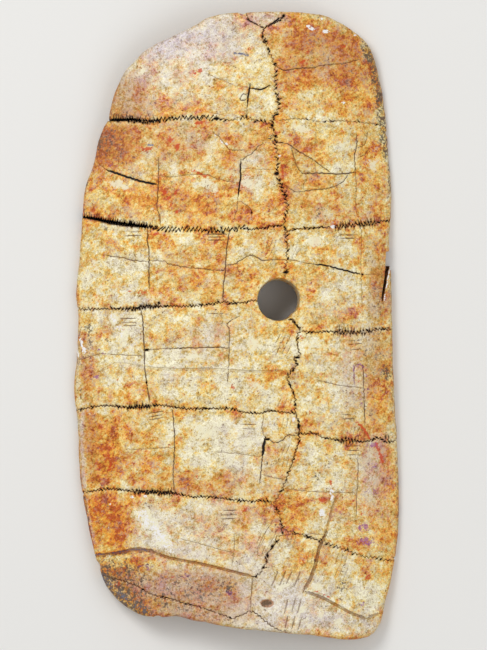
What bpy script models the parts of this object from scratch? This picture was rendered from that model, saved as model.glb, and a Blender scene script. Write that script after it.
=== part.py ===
# Oracle bone made from a turtle's upper shell: one trimmed, drilled plate, lying on its hollow face.
# Metres, +Z up, +Y towards the narrow end. The origin is on the floor, below the middle of the plate's box.
# Outlines, sutures and cracks are points in the reference picture, placed as shares of the plate's own box.

import math

import bpy
import numpy as np
from mathutils import Vector
from mathutils.geometry import delaunay_2d_cdt

# The plate
PLATE_LENGTH = 0.1882
PLATE_WIDTH = 0.0975
PLATE_THICKNESS = 0.0050
CROSS_RISE = 0.0136  # how far the crown stands above the long edges
LONG_RISE = 0.0028  # how far the crown stands above the ends
SEAT_DEPTH = 0.0016  # ground off the long edges, so that they lie flat
SEAT_WIDTH = 0.0020  # a row of points this far in keeps the seats flat
EDGE_ROUND = 0.0013  # radius of the worn outer rim
RIM_WEAR = 0.6  # share of a groove's depth worn away at the rim

# The arch across the plate: where each half would meet the long edges' height, as a share of the half width,
# how much nearer that is towards the narrow end, and the power of the curve
RIGHT_REACH = 0.957
RIGHT_TAPER = 0.060
RIGHT_POWER = 2.5
LEFT_REACH = 0.970
LEFT_POWER = 2.0

# The drilled hole: its diameter on the inner face, and how its mouth opens and leans on the outer face
HOLE_DIAMETER = 0.0120
MOUTH_FLARE = 0.0003
MOUTH_LEAN = (0.00036, 0.00024)

# Grooves on the outer face
SUTURE_DEPTH = 0.0011
SUTURE_WIDTH = 0.0011
TOOTH_PITCH = 0.0026
TOOTH_REACH = 0.0013
TOOTH_MEAN = 0.72  # share of the reach that a tooth has, and how far and how fast that swings along a suture
TOOTH_SWING = 0.28
TOOTH_BEAT = 2.1
SULCUS_DEPTH = 0.0005
SULCUS_WIDTH = 0.0013
CRACK_DEPTH = 0.0006
CRACK_WIDTH = 0.0008
SLIT_WIDTH = 0.0010  # where a suture has opened right through
SLIT_TOOTH = TOOTH_REACH / 3  # longest teeth on its upper lip
SLIT_TOOTH_LOW = 0.3  # share of that on every second tooth

# Hollows cut in the inner face, one behind each burnt crack: a chiselled slot and a drilled pit beside it
HOLLOW_WEB = 0.0026  # bone left between the bottom of a hollow and the outer face
SLOT_LENGTH = 0.0160
SLOT_WIDTH = 0.0066
PIT_DIAMETER = 0.0080
PIT_OFFSET = 0.0056
PIT_SHALLOW = 0.85  # share of the slot's depth
PIT_FLOOR = 0.34  # radius of the pit's flat floor, as a share of its diameter
SLOT_FLOOR = 0.8  # share of the slot's length that its floor line runs

# How fine the faces are
RIM_STEP = 0.0040
OUTER_GRID = 0.0066
INNER_GRID = 0.0070
OUTER_CLEAR = 0.4  # shares of a grid's step that its points keep from outlines and grooves
INNER_CLEAR = 0.3
SEAT_CLEAR = 0.8  # and of the seat's width that its row keeps from the edges
ROUND_RING = 0.3  # share of the rim's radius at which the rounding gets a ring of points
HOLE_POINTS = 28
SLOT_POINTS = 12
SLOT_FLOOR_POINTS = 5
PIT_POINTS = 14
PIT_FLOOR_POINTS = 10
MERGE = 0.00002

# The plate's box in the reference picture: left, top, right, bottom
PICTURE_BOX = (74.0, 12.0, 399.0, 639.5)

OUTLINE = [
    (250, 12.5), (283, 12), (317, 14), (337, 21), (352, 30), (362, 38), (371, 50), (377, 68), (382, 92),
    (386, 120), (388, 150), (391, 185), (391, 215), (389, 245), (391, 275), (392, 310), (393, 360),
    (395, 405), (397.5, 450), (398.6, 500), (398, 530), (395.5, 556), (390, 584), (384.5, 606),
    (380, 624), (368, 637), (345, 639.5), (316, 636), (274, 632), (236, 628), (197, 621), (177, 616.5),
    (158, 617.5), (140, 614.5), (122, 604), (108, 589), (100, 571), (94, 552), (87.5, 522), (82.5, 495),
    (79, 466), (78, 430), (74.3, 390), (77, 350), (78, 318), (76, 292), (79.5, 255), (81.5, 225),
    (84.5, 198), (91, 172), (100, 141), (109, 112), (118, 86), (134, 62), (147, 49), (166, 39),
    (190, 28), (208, 18.5), (226, 13.5),
]

HOLE_CENTRE = (277.2, 300.6)

# Sutures between the bony plates, from the rim inwards, and the one that runs down the shell
CENTRE_SUTURE_ABOVE = [
    (263, 29), (262.5, 37), (268.5, 50), (272, 60), (275.5, 72), (275, 90), (278.5, 104), (272, 122),
    (274.5, 138), (277, 152), (276.5, 172), (284, 195), (288, 206), (283.5, 224), (287.5, 242),
    (286.5, 260), (285.5, 273),
]
CENTRE_SUTURE_BELOW = [
    (289, 321), (300, 330), (297, 347), (300.5, 356), (293, 369), (287, 379), (294, 394), (295, 412),
    (299, 428), (295, 446), (291.5, 466), (284.5, 483), (273, 504), (281, 520), (282, 535), (272, 546),
    (266, 560), (254, 576),
]
FOOT_SUTURE = [(254, 576), (252, 592), (250, 609)]
LEFT_SUTURES = [
    [(100, 120), (131, 120), (161, 119), (204, 118), (233, 120), (271, 124)],
    [(76, 216), (103, 220.5), (133, 225), (169, 229.5), (213, 231), (246, 228), (283, 225.5)],
    [(72, 309), (99, 309), (144, 307), (192, 305.5), (226, 303), (258, 300.5)],
    [(72, 409), (118, 406.5), (160, 406), (183, 408), (243, 411), (295, 413)],
    [(76, 493), (113, 489), (161, 493.5), (207, 496.5), (243, 500), (273, 504)],
    [(96, 573), (127, 582), (157, 595.5), (192, 603.5), (232, 617.5), (250, 610), (265, 621), (290, 633)],
]
RIGHT_SUTURES = [
    [(273, 122), (301, 119), (336, 121), (359, 122), (392, 125.5)],
    [(285, 231.5), (311, 228), (344, 225.5), (373, 224), (396, 221)],
    [(300, 330.5), (334, 331.5), (365, 332), (398, 329)],
    [(298, 433.7), (316, 434), (340, 440), (369, 440), (402, 440)],
    [(282, 529), (308, 537), (344, 549), (377, 558), (401, 559)],
]

# Stretches of suture that have opened through the plate, and the wedge beside the long splinter
OPEN_SLITS = [
    [(98, 120), (112, 120.3), (131, 120), (146, 120.8)],
    [(76, 216), (95, 219), (113, 222.7), (133, 225.3), (150, 227)],
]
SPLINTER_WEDGE = [
    (394, 250), (386, 252), (385.2, 270), (383.2, 285), (381.4, 298), (383.2, 301.5), (385.8, 290),
    (388.8, 271), (391, 262), (396, 256),
]

# Seams that the horny scutes left
SULCI = [
    [(90, 555), (114, 553.3), (140, 549.3), (170, 557.4), (212, 565.5), (252, 575)],
    [(338, 494), (327, 529), (317, 560), (307, 587), (303, 592)],
    [(310, 591.8), (336, 604.4), (361, 616), (375, 614.5), (392, 611)],
    [(82, 380), (110, 365.7), (143, 366.5), (213, 368.6), (263, 371.5), (286, 375)],
]

# Burnt cracks: the upright stem, the side that its hollow's pit lies on, and the branches
CRACK_STEMS = [
    ((250, 86), (247, 114), -1),
    ((158.5, 158), (160, 222), -1),
    ((241, 162), (235, 217), 1),
    ((356.5, 136), (356, 208), -1),
    ((148, 233), (149.5, 288), -1),
    ((229, 235), (223, 300), 1),
    ((361.5, 234), (361.5, 300), -1),
    ((142, 312), (149, 400), -1),
    ((229, 329), (228, 382), -1),
    ((363.5, 366), (364.8, 422), -1),
    ((173.5, 411), (173.5, 490), -1),
    ((264, 418), (260, 482), -1),
    ((357.5, 458), (356.5, 514), -1),
    ((234.2, 535), (232, 564), -1),
]
CRACK_BRANCHES = [
    [(96, 162), (107, 170), (131, 178.4), (158, 185)],
    [(276, 65), (291, 70), (320, 66), (359, 59.5)],
    [(158.5, 178), (205, 174.7), (237, 183.4)],
    [(282, 144.4), (304, 155.6), (331.6, 173.4), (354.8, 172.6)],
    [(291, 148), (302.6, 174), (331.6, 173.8)],
    [(346, 175.5), (334, 185.5), (298, 192.5), (286, 184.6)],
    [(105, 255), (133, 260.6), (165, 262), (224, 271)],
    [(226, 265), (251, 256), (294, 260.2), (329, 266.4), (361, 274)],
    [(78, 360), (107, 353.7), (144, 356)],
    [(151, 350), (185, 348), (228, 348)],
    [(320, 380), (363, 388)],
    [(127, 449.4), (173, 447.4)],
    [(215, 452), (262, 456.5)],
    [(267, 438), (282, 440), (295, 436)],
    [(287, 488), (325, 492), (356, 493)],
    [(182, 538.7), (233, 552)],
]


def clear_scene():
    for item in list(bpy.data.objects):
        bpy.data.objects.remove(item, do_unlink=True)


def place(points):
    # Picture points to metres on the plate: shares of its box, with the middle of the box at 0, 0.
    left, top, right, bottom = PICTURE_BOX
    across, down = np.asarray(points, float).reshape(-1, 2).T
    x = (across - (left + right) / 2) / (right - left) * PLATE_WIDTH
    y = ((top + bottom) / 2 - down) / (bottom - top) * PLATE_LENGTH
    return np.column_stack([x, y])


def smooth_curve(points, step, closed=False):
    # A Catmull-Rom curve through the points, cut into even steps.
    if closed:
        ring = np.vstack([points[-1:], points, points[:2]])
    else:
        ring = np.vstack([2 * points[0] - points[1], points, 2 * points[-1] - points[-2]])
    fine = []
    for p0, p1, p2, p3 in zip(ring, ring[1:], ring[2:], ring[3:]):
        for t in np.arange(0, 1, 0.05):
            fine.append(0.5 * (2 * p1 + (p2 - p0) * t + (2 * p0 - 5 * p1 + 4 * p2 - p3) * t**2
                               + (3 * p1 - p0 - 3 * p2 + p3) * t**3))
    fine.append(fine[0] if closed else points[-1])
    fine = np.array(fine)
    run = np.concatenate([[0], np.cumsum(np.linalg.norm(np.diff(fine, axis=0), axis=1))])
    count = max(2, int(round(run[-1] / step)))
    stations = np.linspace(0, run[-1], count + 1)
    even = np.column_stack([np.interp(stations, run, fine[:, axis]) for axis in (0, 1)])
    return even[:-1] if closed else even


def side_of(path, closed=False):
    # The unit vector to the left of a path at each of its points.
    if closed:
        along = np.roll(path, -1, axis=0) - np.roll(path, 1, axis=0)
    else:
        along = np.gradient(path, axis=0)
    along /= np.linalg.norm(along, axis=1)[:, None]
    return np.column_stack([-along[:, 1], along[:, 0]])


def plate_outline():
    # Clockwise in plan, stretched so that its box is exactly the plate's length and width.
    rim = smooth_curve(place(OUTLINE), RIM_STEP, closed=True)
    low, high = rim.min(axis=0), rim.max(axis=0)
    return (rim - (low + high) / 2) / (high - low) * (PLATE_WIDTH, PLATE_LENGTH)


def toothed(points):
    # A suture: teeth to both sides of a smooth line, a little uneven.
    path = smooth_curve(place(points), TOOTH_PITCH / 2)
    count = np.arange(len(path))
    swing = np.where(count % 2 == 0, 1, -1) * (TOOTH_MEAN + TOOTH_SWING * np.sin(TOOTH_BEAT * count))
    return path + side_of(path) * (swing * TOOTH_REACH / 2)[:, None]


def suture_lines():
    lines = [toothed(points) for points in LEFT_SUTURES + RIGHT_SUTURES]
    return lines + [toothed(points) for points in (CENTRE_SUTURE_ABOVE, CENTRE_SUTURE_BELOW, FOOT_SUTURE)]


def crack_lines():
    stems = [smooth_curve(place([top, foot]), RIM_STEP) for top, foot, _ in CRACK_STEMS]
    return stems + [smooth_curve(place(points), RIM_STEP) for points in CRACK_BRANCHES]


def slit_outline(points):
    # A narrow closed outline about a path, as wide as the slit at the rim and pointed at its inner end.
    path = smooth_curve(place(points), TOOTH_PITCH / 2)
    half = SLIT_WIDTH / 2 * np.sqrt(np.linspace(1, 0, len(path)))
    teeth = np.where(np.arange(len(path)) % 2 == 0, SLIT_TOOTH_LOW, 1) * SLIT_TOOTH
    upper = path + side_of(path) * (half + teeth * (half > 0))[:, None]
    lower = path - side_of(path) * half[:, None]
    return np.vstack([upper[:-1], path[-1:], lower[:-1][::-1]])


def ring_points(centre, radius, count):
    turn = np.arange(count) * 2 * math.pi / count
    return centre + radius * np.column_stack([np.cos(turn), np.sin(turn)])


def inside(points, loop):
    # Even-odd test of each point against a closed loop.
    x, y = points[:, 0][:, None], points[:, 1][:, None]
    x1, y1 = loop[:, 0], loop[:, 1]
    x2, y2 = np.roll(x1, -1), np.roll(y1, -1)
    level = np.where(y2 == y1, 1e-12, y2 - y1)
    crosses = ((y1 > y) != (y2 > y)) & (x < (x2 - x1) * (y - y1) / level + x1)
    return crosses.sum(axis=1) % 2 == 1


def distance_to(points, path, closed=False):
    # The distance from each point to a path of straight pieces.
    ends = np.vstack([path, path[:1]]) if closed else path
    start, run = ends[:-1], np.diff(ends, axis=0)
    offset = points[:, None, :] - start[None]
    share = np.clip((offset * run).sum(axis=2) / (run**2).sum(axis=1), 0, 1)
    return np.linalg.norm(offset - share[..., None] * run, axis=2).min(axis=1)


def hex_grid(step):
    rows = np.arange(-PLATE_LENGTH / 2, PLATE_LENGTH / 2, step * math.sqrt(3) / 2)
    columns = np.arange(-PLATE_WIDTH / 2, PLATE_WIDTH / 2, step)
    return np.array([(x + step / 2 * (row % 2), y) for row, y in enumerate(rows) for x in columns])


def crown_height(points):
    # The outer face without its grooves: arched across and along, flatter on the left than on the right.
    x, y = points[:, 0] / (PLATE_WIDTH / 2), points[:, 1] / (PLATE_LENGTH / 2)
    reach = np.where(x > 0, RIGHT_REACH - RIGHT_TAPER * y, LEFT_REACH)
    power = np.where(x > 0, RIGHT_POWER, LEFT_POWER)
    across = 1 - np.abs(x / reach) ** power
    return PLATE_THICKNESS - SEAT_DEPTH + CROSS_RISE * across - LONG_RISE * y**2


def groove_depth(points, paths, depth, width):
    cut = np.zeros(len(points))
    for path in paths:
        cut = np.maximum(cut, depth * (1 - distance_to(points, path) / (width / 2)))
    return cut


def outer_height(points, rim, sutures, sulci, cracks):
    near_rim = np.clip(EDGE_ROUND - distance_to(points, rim, closed=True), 0, EDGE_ROUND)
    rounding = EDGE_ROUND - np.sqrt(EDGE_ROUND**2 - near_rim**2)
    cut = groove_depth(points, sutures, SUTURE_DEPTH, SUTURE_WIDTH)
    cut = np.maximum(cut, groove_depth(points, sulci, SULCUS_DEPTH, SULCUS_WIDTH))
    cut = np.maximum(cut, groove_depth(points, cracks, CRACK_DEPTH, CRACK_WIDTH))
    return crown_height(points) - rounding - cut * (1 - RIM_WEAR * near_rim / EDGE_ROUND)


def hollows():
    # The middle, direction and pit centre of each hollow on the inner face.
    made = []
    for top, foot, side in CRACK_STEMS:
        start, end = place([top, foot])
        along = (end - start) / np.linalg.norm(end - start)
        across = np.array([-along[1], along[0]])
        middle = (start + end) / 2
        made.append((middle, along, across, middle + across * side * PIT_OFFSET))
    return made


def inner_height(points):
    # The inner face: parallel to the outer one, hollowed behind the cracks and ground flat along the edges.
    depth = PLATE_THICKNESS - HOLLOW_WEB
    cut = np.zeros(len(points))
    for middle, along, across, pit in hollows():
        length = (points - middle) @ along / (SLOT_LENGTH / 2)
        width = (points - middle) @ across / (SLOT_WIDTH / 2)
        slot = np.clip(1 - length**2, 0, 1) - np.abs(width)
        reach = np.linalg.norm(points - pit, axis=1) / (PIT_DIAMETER / 2)
        cut = np.maximum(cut, depth * np.clip(slot, 0, 1))
        cut = np.maximum(cut, PIT_SHALLOW * depth * np.clip(1 - reach**4, 0, 1))
    return np.maximum(crown_height(points) - PLATE_THICKNESS + cut, 0)


def hollow_loops():
    # Each slot's mouth and the line along its bottom, and each pit's mouth, floor edge and centre.
    turn = np.arange(SLOT_POINTS) * 2 * math.pi / SLOT_POINTS
    length = np.cos(turn)
    width = np.sign(np.sin(turn)) * (1 - length**2)
    spread = np.linspace(-SLOT_FLOOR, SLOT_FLOOR, SLOT_FLOOR_POINTS)
    loops, lines, points = [], [], []
    for middle, along, across, pit in hollows():
        edge = middle + np.outer(length * SLOT_LENGTH / 2, along)
        loops.append(edge + np.outer(width * SLOT_WIDTH / 2, across))
        lines.append(middle + np.outer(spread * SLOT_LENGTH / 2, along))
        loops.append(ring_points(pit, PIT_DIAMETER / 2, PIT_POINTS))
        loops.append(ring_points(pit, PIT_DIAMETER * PIT_FLOOR, PIT_FLOOR_POINTS))
        points.append(pit)
    return loops, lines, np.array(points)


def triangulate(loops, lines, points):
    # Triangles in plan that keep every loop and line as edges.
    coordinates, edges = [], []
    for part, closed in [(loop, True) for loop in loops] + [(line, False) for line in lines]:
        first, count = len(coordinates), len(part)
        coordinates += [Vector(p) for p in part]
        edges += [(first + i, first + i + 1) for i in range(count - 1)]
        if closed:
            edges.append((first + count - 1, first))
    coordinates += [Vector(p) for p in points]
    found = delaunay_2d_cdt(coordinates, edges, [], 0, MERGE, False)
    return np.array([tuple(v) for v in found[0]]), np.array([tuple(f) for f in found[2]])


def keep(points, faces, wanted):
    # The wanted triangles, all anticlockwise from above, and only the points that they use.
    faces = faces[wanted(points[faces].mean(axis=1))]
    corner = points[faces]
    first, second = corner[:, 1] - corner[:, 0], corner[:, 2] - corner[:, 0]
    clockwise = first[:, 0] * second[:, 1] - first[:, 1] * second[:, 0] < 0
    faces[clockwise] = faces[clockwise][:, ::-1]
    used, index = np.unique(faces, return_inverse=True)
    return points[used], index.reshape(-1, 3)


def boundary_edges(faces):
    # Edges with a triangle on one side only, each in its own triangle's direction.
    edges = np.concatenate([faces[:, [0, 1]], faces[:, [1, 2]], faces[:, [2, 0]]])
    known = {tuple(edge) for edge in edges}
    return [(a, b) for a, b in edges if (b, a) not in known]


def ring_loops(edges):
    following = dict(edges)
    loops = []
    while following:
        start, here = next(iter(following.items()))
        del following[start]
        loop = [start]
        while here != start:
            loop.append(here)
            here = following.pop(here)
        loops.append(loop)
    return loops


def plate_mesh():
    rim = plate_outline()
    slits = [slit_outline(points) for points in OPEN_SLITS] + [place(SPLINTER_WEDGE)]
    hole = place([HOLE_CENTRE])[0]
    mouth_centre = hole + MOUTH_LEAN
    mouth = ring_points(mouth_centre, HOLE_DIAMETER / 2 + MOUTH_FLARE, HOLE_POINTS)
    sutures, cracks = suture_lines(), crack_lines()
    sulci = [smooth_curve(place(points), RIM_STEP) for points in SULCI]

    # Outer face
    inward = side_of(rim, closed=True) * -1
    rings = [rim, rim + inward * EDGE_ROUND * ROUND_RING, rim + inward * EDGE_ROUND]
    lines = []
    for paths, width in ((sutures, SUTURE_WIDTH), (sulci, SULCUS_WIDTH), (cracks, CRACK_WIDTH)):
        for path in paths:
            lines += [path, path + side_of(path) * width / 2, path - side_of(path) * width / 2]
    grid = hex_grid(OUTER_GRID)
    clear = np.min([distance_to(grid, path) for path in sutures + sulci + cracks], axis=0)
    clear = np.minimum(clear, distance_to(grid, rim, closed=True))
    grid = grid[clear > OUTER_GRID * OUTER_CLEAR]
    points, faces = triangulate(rings + [mouth] + slits, lines, grid)

    def on_plate(middles):
        kept = inside(middles, rim) & ~inside(middles, mouth)
        for slit in slits:
            kept &= ~inside(middles, slit)
        return kept

    top, top_faces = keep(points, faces, on_plate)
    loops = ring_loops(boundary_edges(top_faces))

    # Inner face, on the same boundary
    edge_loops = [top[loop] for loop in loops]
    hole_loop = min(edge_loops, key=lambda loop: np.linalg.norm(loop.mean(axis=0) - mouth_centre))
    shrink = HOLE_DIAMETER / (HOLE_DIAMETER + 2 * MOUTH_FLARE)
    hole_index = [i for i, loop in enumerate(edge_loops) if loop is hole_loop][0]
    edge_loops[hole_index] = (hole_loop - mouth_centre) * shrink + hole
    mouths, floors, centres = hollow_loops()
    grid = hex_grid(INNER_GRID)
    clear = np.min([distance_to(grid, loop, closed=True) for loop in edge_loops + mouths], axis=0)
    grid = grid[clear > INNER_GRID * INNER_CLEAR]
    land = rim + inward * SEAT_WIDTH
    clear = np.min([distance_to(land, loop, closed=True) for loop in edge_loops], axis=0)
    land = land[clear > SEAT_WIDTH * SEAT_CLEAR]
    points, faces = triangulate(edge_loops + mouths, floors, np.vstack([grid, centres, land]))

    def under_plate(middles):
        return np.sum([inside(middles, loop) for loop in edge_loops], axis=0) % 2 == 1

    foot, foot_faces = keep(points, faces, under_plate)

    # Walls, from each boundary edge of the outer face to the same edge of the inner one
    boundary = np.concatenate(loops)
    wanted = np.vstack(edge_loops)
    nearest = {}
    for index, spot in zip(boundary, wanted):
        nearest[index] = len(top) + int(np.argmin(np.linalg.norm(foot - spot, axis=1)))
    walls = []
    for a, b in boundary_edges(top_faces):
        walls += [(a, nearest[a], nearest[b]), (a, nearest[b], b)]
    heights = np.concatenate([outer_height(top, rim, sutures, sulci, cracks), inner_height(foot)])
    corners = np.column_stack([np.vstack([top, foot]), heights])
    return corners, np.vstack([top_faces, foot_faces[:, ::-1] + len(top), walls])


def bone_material():
    material = bpy.data.materials.new("aged_shell_bone")
    material.use_nodes = True
    shader = material.node_tree.nodes["Principled BSDF"]
    shader.inputs["Base Color"].default_value = (0.62, 0.40, 0.17, 1)
    shader.inputs["Roughness"].default_value = 0.5
    shader.inputs["Metallic"].default_value = 0.0
    return material


def shell_plate():
    corners, faces = plate_mesh()
    mesh = bpy.data.meshes.new("shell_plate")
    mesh.from_pydata(corners.tolist(), [], faces.tolist())
    mesh.update()
    mesh.materials.append(bone_material())
    plate = bpy.data.objects.new("shell_plate", mesh)
    bpy.context.scene.collection.objects.link(plate)
    mesh.shade_smooth()
    mesh.set_sharp_from_angle(angle=math.radians(35))
    return plate


clear_scene()
shell_plate()
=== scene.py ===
import math

import bpy
import numpy as np
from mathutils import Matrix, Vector
from mathutils.geometry import delaunay_2d_cdt
from mathutils.kdtree import KDTree


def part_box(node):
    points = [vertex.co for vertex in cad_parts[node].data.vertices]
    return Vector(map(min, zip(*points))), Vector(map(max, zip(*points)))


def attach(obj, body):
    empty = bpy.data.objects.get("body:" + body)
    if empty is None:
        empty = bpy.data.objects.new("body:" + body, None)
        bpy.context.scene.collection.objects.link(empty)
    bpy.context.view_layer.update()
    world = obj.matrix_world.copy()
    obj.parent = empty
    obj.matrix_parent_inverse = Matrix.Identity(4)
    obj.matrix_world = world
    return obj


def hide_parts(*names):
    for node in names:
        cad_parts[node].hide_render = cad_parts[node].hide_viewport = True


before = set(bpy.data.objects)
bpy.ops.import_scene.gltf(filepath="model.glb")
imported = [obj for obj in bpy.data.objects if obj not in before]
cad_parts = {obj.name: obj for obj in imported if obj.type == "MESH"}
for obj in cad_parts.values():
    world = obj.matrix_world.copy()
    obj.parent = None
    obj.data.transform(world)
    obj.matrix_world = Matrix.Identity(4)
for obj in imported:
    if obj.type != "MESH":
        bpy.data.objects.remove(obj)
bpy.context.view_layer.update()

plateLow, plateHigh = (np.array(corner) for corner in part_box("shell_plate"))
print("frame loaded, plate", np.round((plateHigh - plateLow) * 1000, 1), "mm")

# The plate's form. Lengths are metres. Places and widths in the lists further down are points of the
# reference picture, read off.
plate = {
    "thickness": 0.0050,
    "crossRise": 0.0136,     # crown above the long edges
    "longRise": 0.0028,      # crown above the ends
    "seatDepth": 0.0016,     # ground off below the long edges
    "rimRadius": 0.0013,
    "faceDrop": 0.00006,     # keeps the swell of the outer face below the crown's height
    "footRadius": 0.0004,    # wear on the lower rim
    "slitLean": 0.0010,      # how far the open sutures lean on their way down
    "wedgeLean": 0.0012,     # and the gap beside the splinter on the right edge
    "pictureBox": (74.0, 12.0, 399.0, 639.5),  # the plate in the picture: left, top, right, bottom
    "holeCentre": (277.2, 300.6),
    "holeDiameter": 0.0120,
    "mouthFlare": 0.00042,   # how much wider the hole's mouth is all round
    "mouthLean": (0.00045, 0.00030),  # from the hole's middle below to its mouth's
    "pit": (267, 602.8, 7.4, 4.7),  # oval pit near the lower end: middle and half sizes
    "pitDepth": 0.0007,
    "rimStep": 0.0006,
    "outerStep": 0.00062,    # spacing of the points on the outer face
    "innerStep": 0.0015,
    "wallRows": 5,
    "seed": 11,
}

# The crown's cross curve: how far out it comes down to nought, as a share of the half width, on the right
# less far towards the narrow end, and its power, which is higher for a flatter top
crown = {
    "rightReach": 0.957, "rightTaper": 0.060, "rightPower": 2.5,
    "leftReach": 0.970, "leftPower": 2.0,
}

outline = [
    (250, 12.5), (283, 12), (317, 14), (337, 21), (352, 30), (362, 38), (371, 50), (377, 68), (382, 92),
    (386, 120), (388, 150), (391, 185), (391, 215), (389, 245), (391, 275), (392, 310), (393, 360),
    (395, 405), (397.5, 450), (398.6, 500), (398, 530), (395.5, 556), (390, 584), (384.5, 606),
    (380, 624), (368, 637), (345, 639.5), (316, 636), (274, 632), (236, 628), (197, 621), (177, 616.5),
    (158, 617.5), (140, 614.5), (122, 604), (108, 589), (100, 571), (94, 552), (87.5, 522), (82.5, 495),
    (79, 466), (78, 430), (74.3, 390), (77, 350), (78, 318), (76, 292), (79.5, 255), (81.5, 225),
    (83.5, 200), (86.5, 182), (91.5, 170), (95.5, 155), (98.5, 141), (103, 128), (108.5, 119),
    (110, 109.5), (115.5, 91), (120, 80), (126, 70), (134, 61.5), (143.5, 52), (148.5, 48), (157, 43),
    (168, 38.6), (181, 32), (191, 27.4), (205, 19), (214, 16.2), (226, 13.5),
]

# Small losses along the rim: where, how far they run and how deep they bite, in picture points
rimNicks = [
    ((243, 13), 3.5, 2.6), ((285.6, 12), 4.0, 1.6), ((158, 617.5), 4.0, 1.5), ((97.5, 566), 5.0, 1.6),
    ((387.6, 133), 2.5, 1.4), ((387, 146), 2.2, 1.0), ((77.5, 348), 4.0, 0.8), ((82.4, 494), 2.0, 1.2),
    ((77, 409), 2.0, 1.0), ((77, 309), 1.8, 0.9), ((398, 440), 2.0, 0.9), ((396.5, 559), 2.0, 1.1),
    ((391, 329), 1.8, 0.8), ((391, 221.5), 1.8, 0.9), ((205, 621.5), 3.0, 0.6),
]

# How a suture looks. In picture points: pitch, reach and half are the teeth's spacing, their height
# across the line and half the gap's width, up and down the lengths of fine combs of teeth on its upper and
# lower side and tooth half the width of one. As shares: cut is its depth, dirt how dark it is
# painted at its palest and darkest, for dirt in the seam and painted shade in its depth, gaps how often it
# gapes, slant how far its teeth lean and rust how strongly it stains the bone beside it.
sutureStyles = {
    "hair": {"pitch": 4.0, "reach": 1.5, "half": 0.82, "cut": 0.5, "dirt": (0.75, 1.0), "gaps": 0.1},
    "faint": {"pitch": 4.0, "reach": 1.4, "half": 0.72, "cut": 0.5, "dirt": (0.35, 0.75), "gaps": 0.08},
    "plain": {"pitch": 3.4, "reach": 1.7, "half": 0.92, "cut": 0.8, "dirt": (0.8, 1.0), "gaps": 0.22},
    "fine": {"pitch": 3.2, "reach": 2.0, "half": 1.0, "cut": 0.8, "dirt": (0.9, 1.0), "gaps": 0.32},
    "saw": {"pitch": 3.6, "reach": 4.6, "half": 1.15, "cut": 0.9, "dirt": (0.95, 1.0),
            "gaps": 0.2, "slant": 0.22},
    "fringe": {"pitch": 2.9, "reach": 0.2, "half": 0.8, "cut": 0.9, "dirt": (1.0, 1.0),
               "up": 5.2, "tooth": 0.8},
    "comb": {"pitch": 2.7, "reach": 2.4, "half": 1.5, "cut": 1.2, "dirt": (1.0, 1.0),
             "gaps": 0.2, "up": 3.8, "down": 2.4},
    "tall": {"pitch": 3.1, "reach": 3.0, "half": 1.15, "cut": 1.0, "dirt": (0.95, 1.0),
             "gaps": 0.2, "up": 4.4, "down": 3.4},
    "chain": {"pitch": 4.2, "reach": 3.0, "half": 0.75, "cut": 0.7, "dirt": (0.4, 0.9),
              "gaps": 0.5, "rust": 0.6},
    "lace": {"pitch": 3.8, "reach": 2.8, "half": 0.80, "cut": 0.7, "dirt": (0.5, 0.95),
             "gaps": 0.3, "rust": 0.25},
    "torn": {"pitch": 3.8, "reach": 2.0, "half": 1.00, "cut": 1.0, "dirt": (0.6, 1.0),
             "gaps": 0.3, "rust": 0.3},
    "faded": {"pitch": 4.2, "reach": 2.0, "half": 0.9, "cut": 0.7, "dirt": (0.45, 0.8),
              "gaps": 0.15, "rust": 0.35},
    "beaded": {"pitch": 4.0, "reach": 2.8, "half": 0.85, "cut": 0.7, "dirt": (0.4, 1.0), "gaps": 0.35},
}

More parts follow.
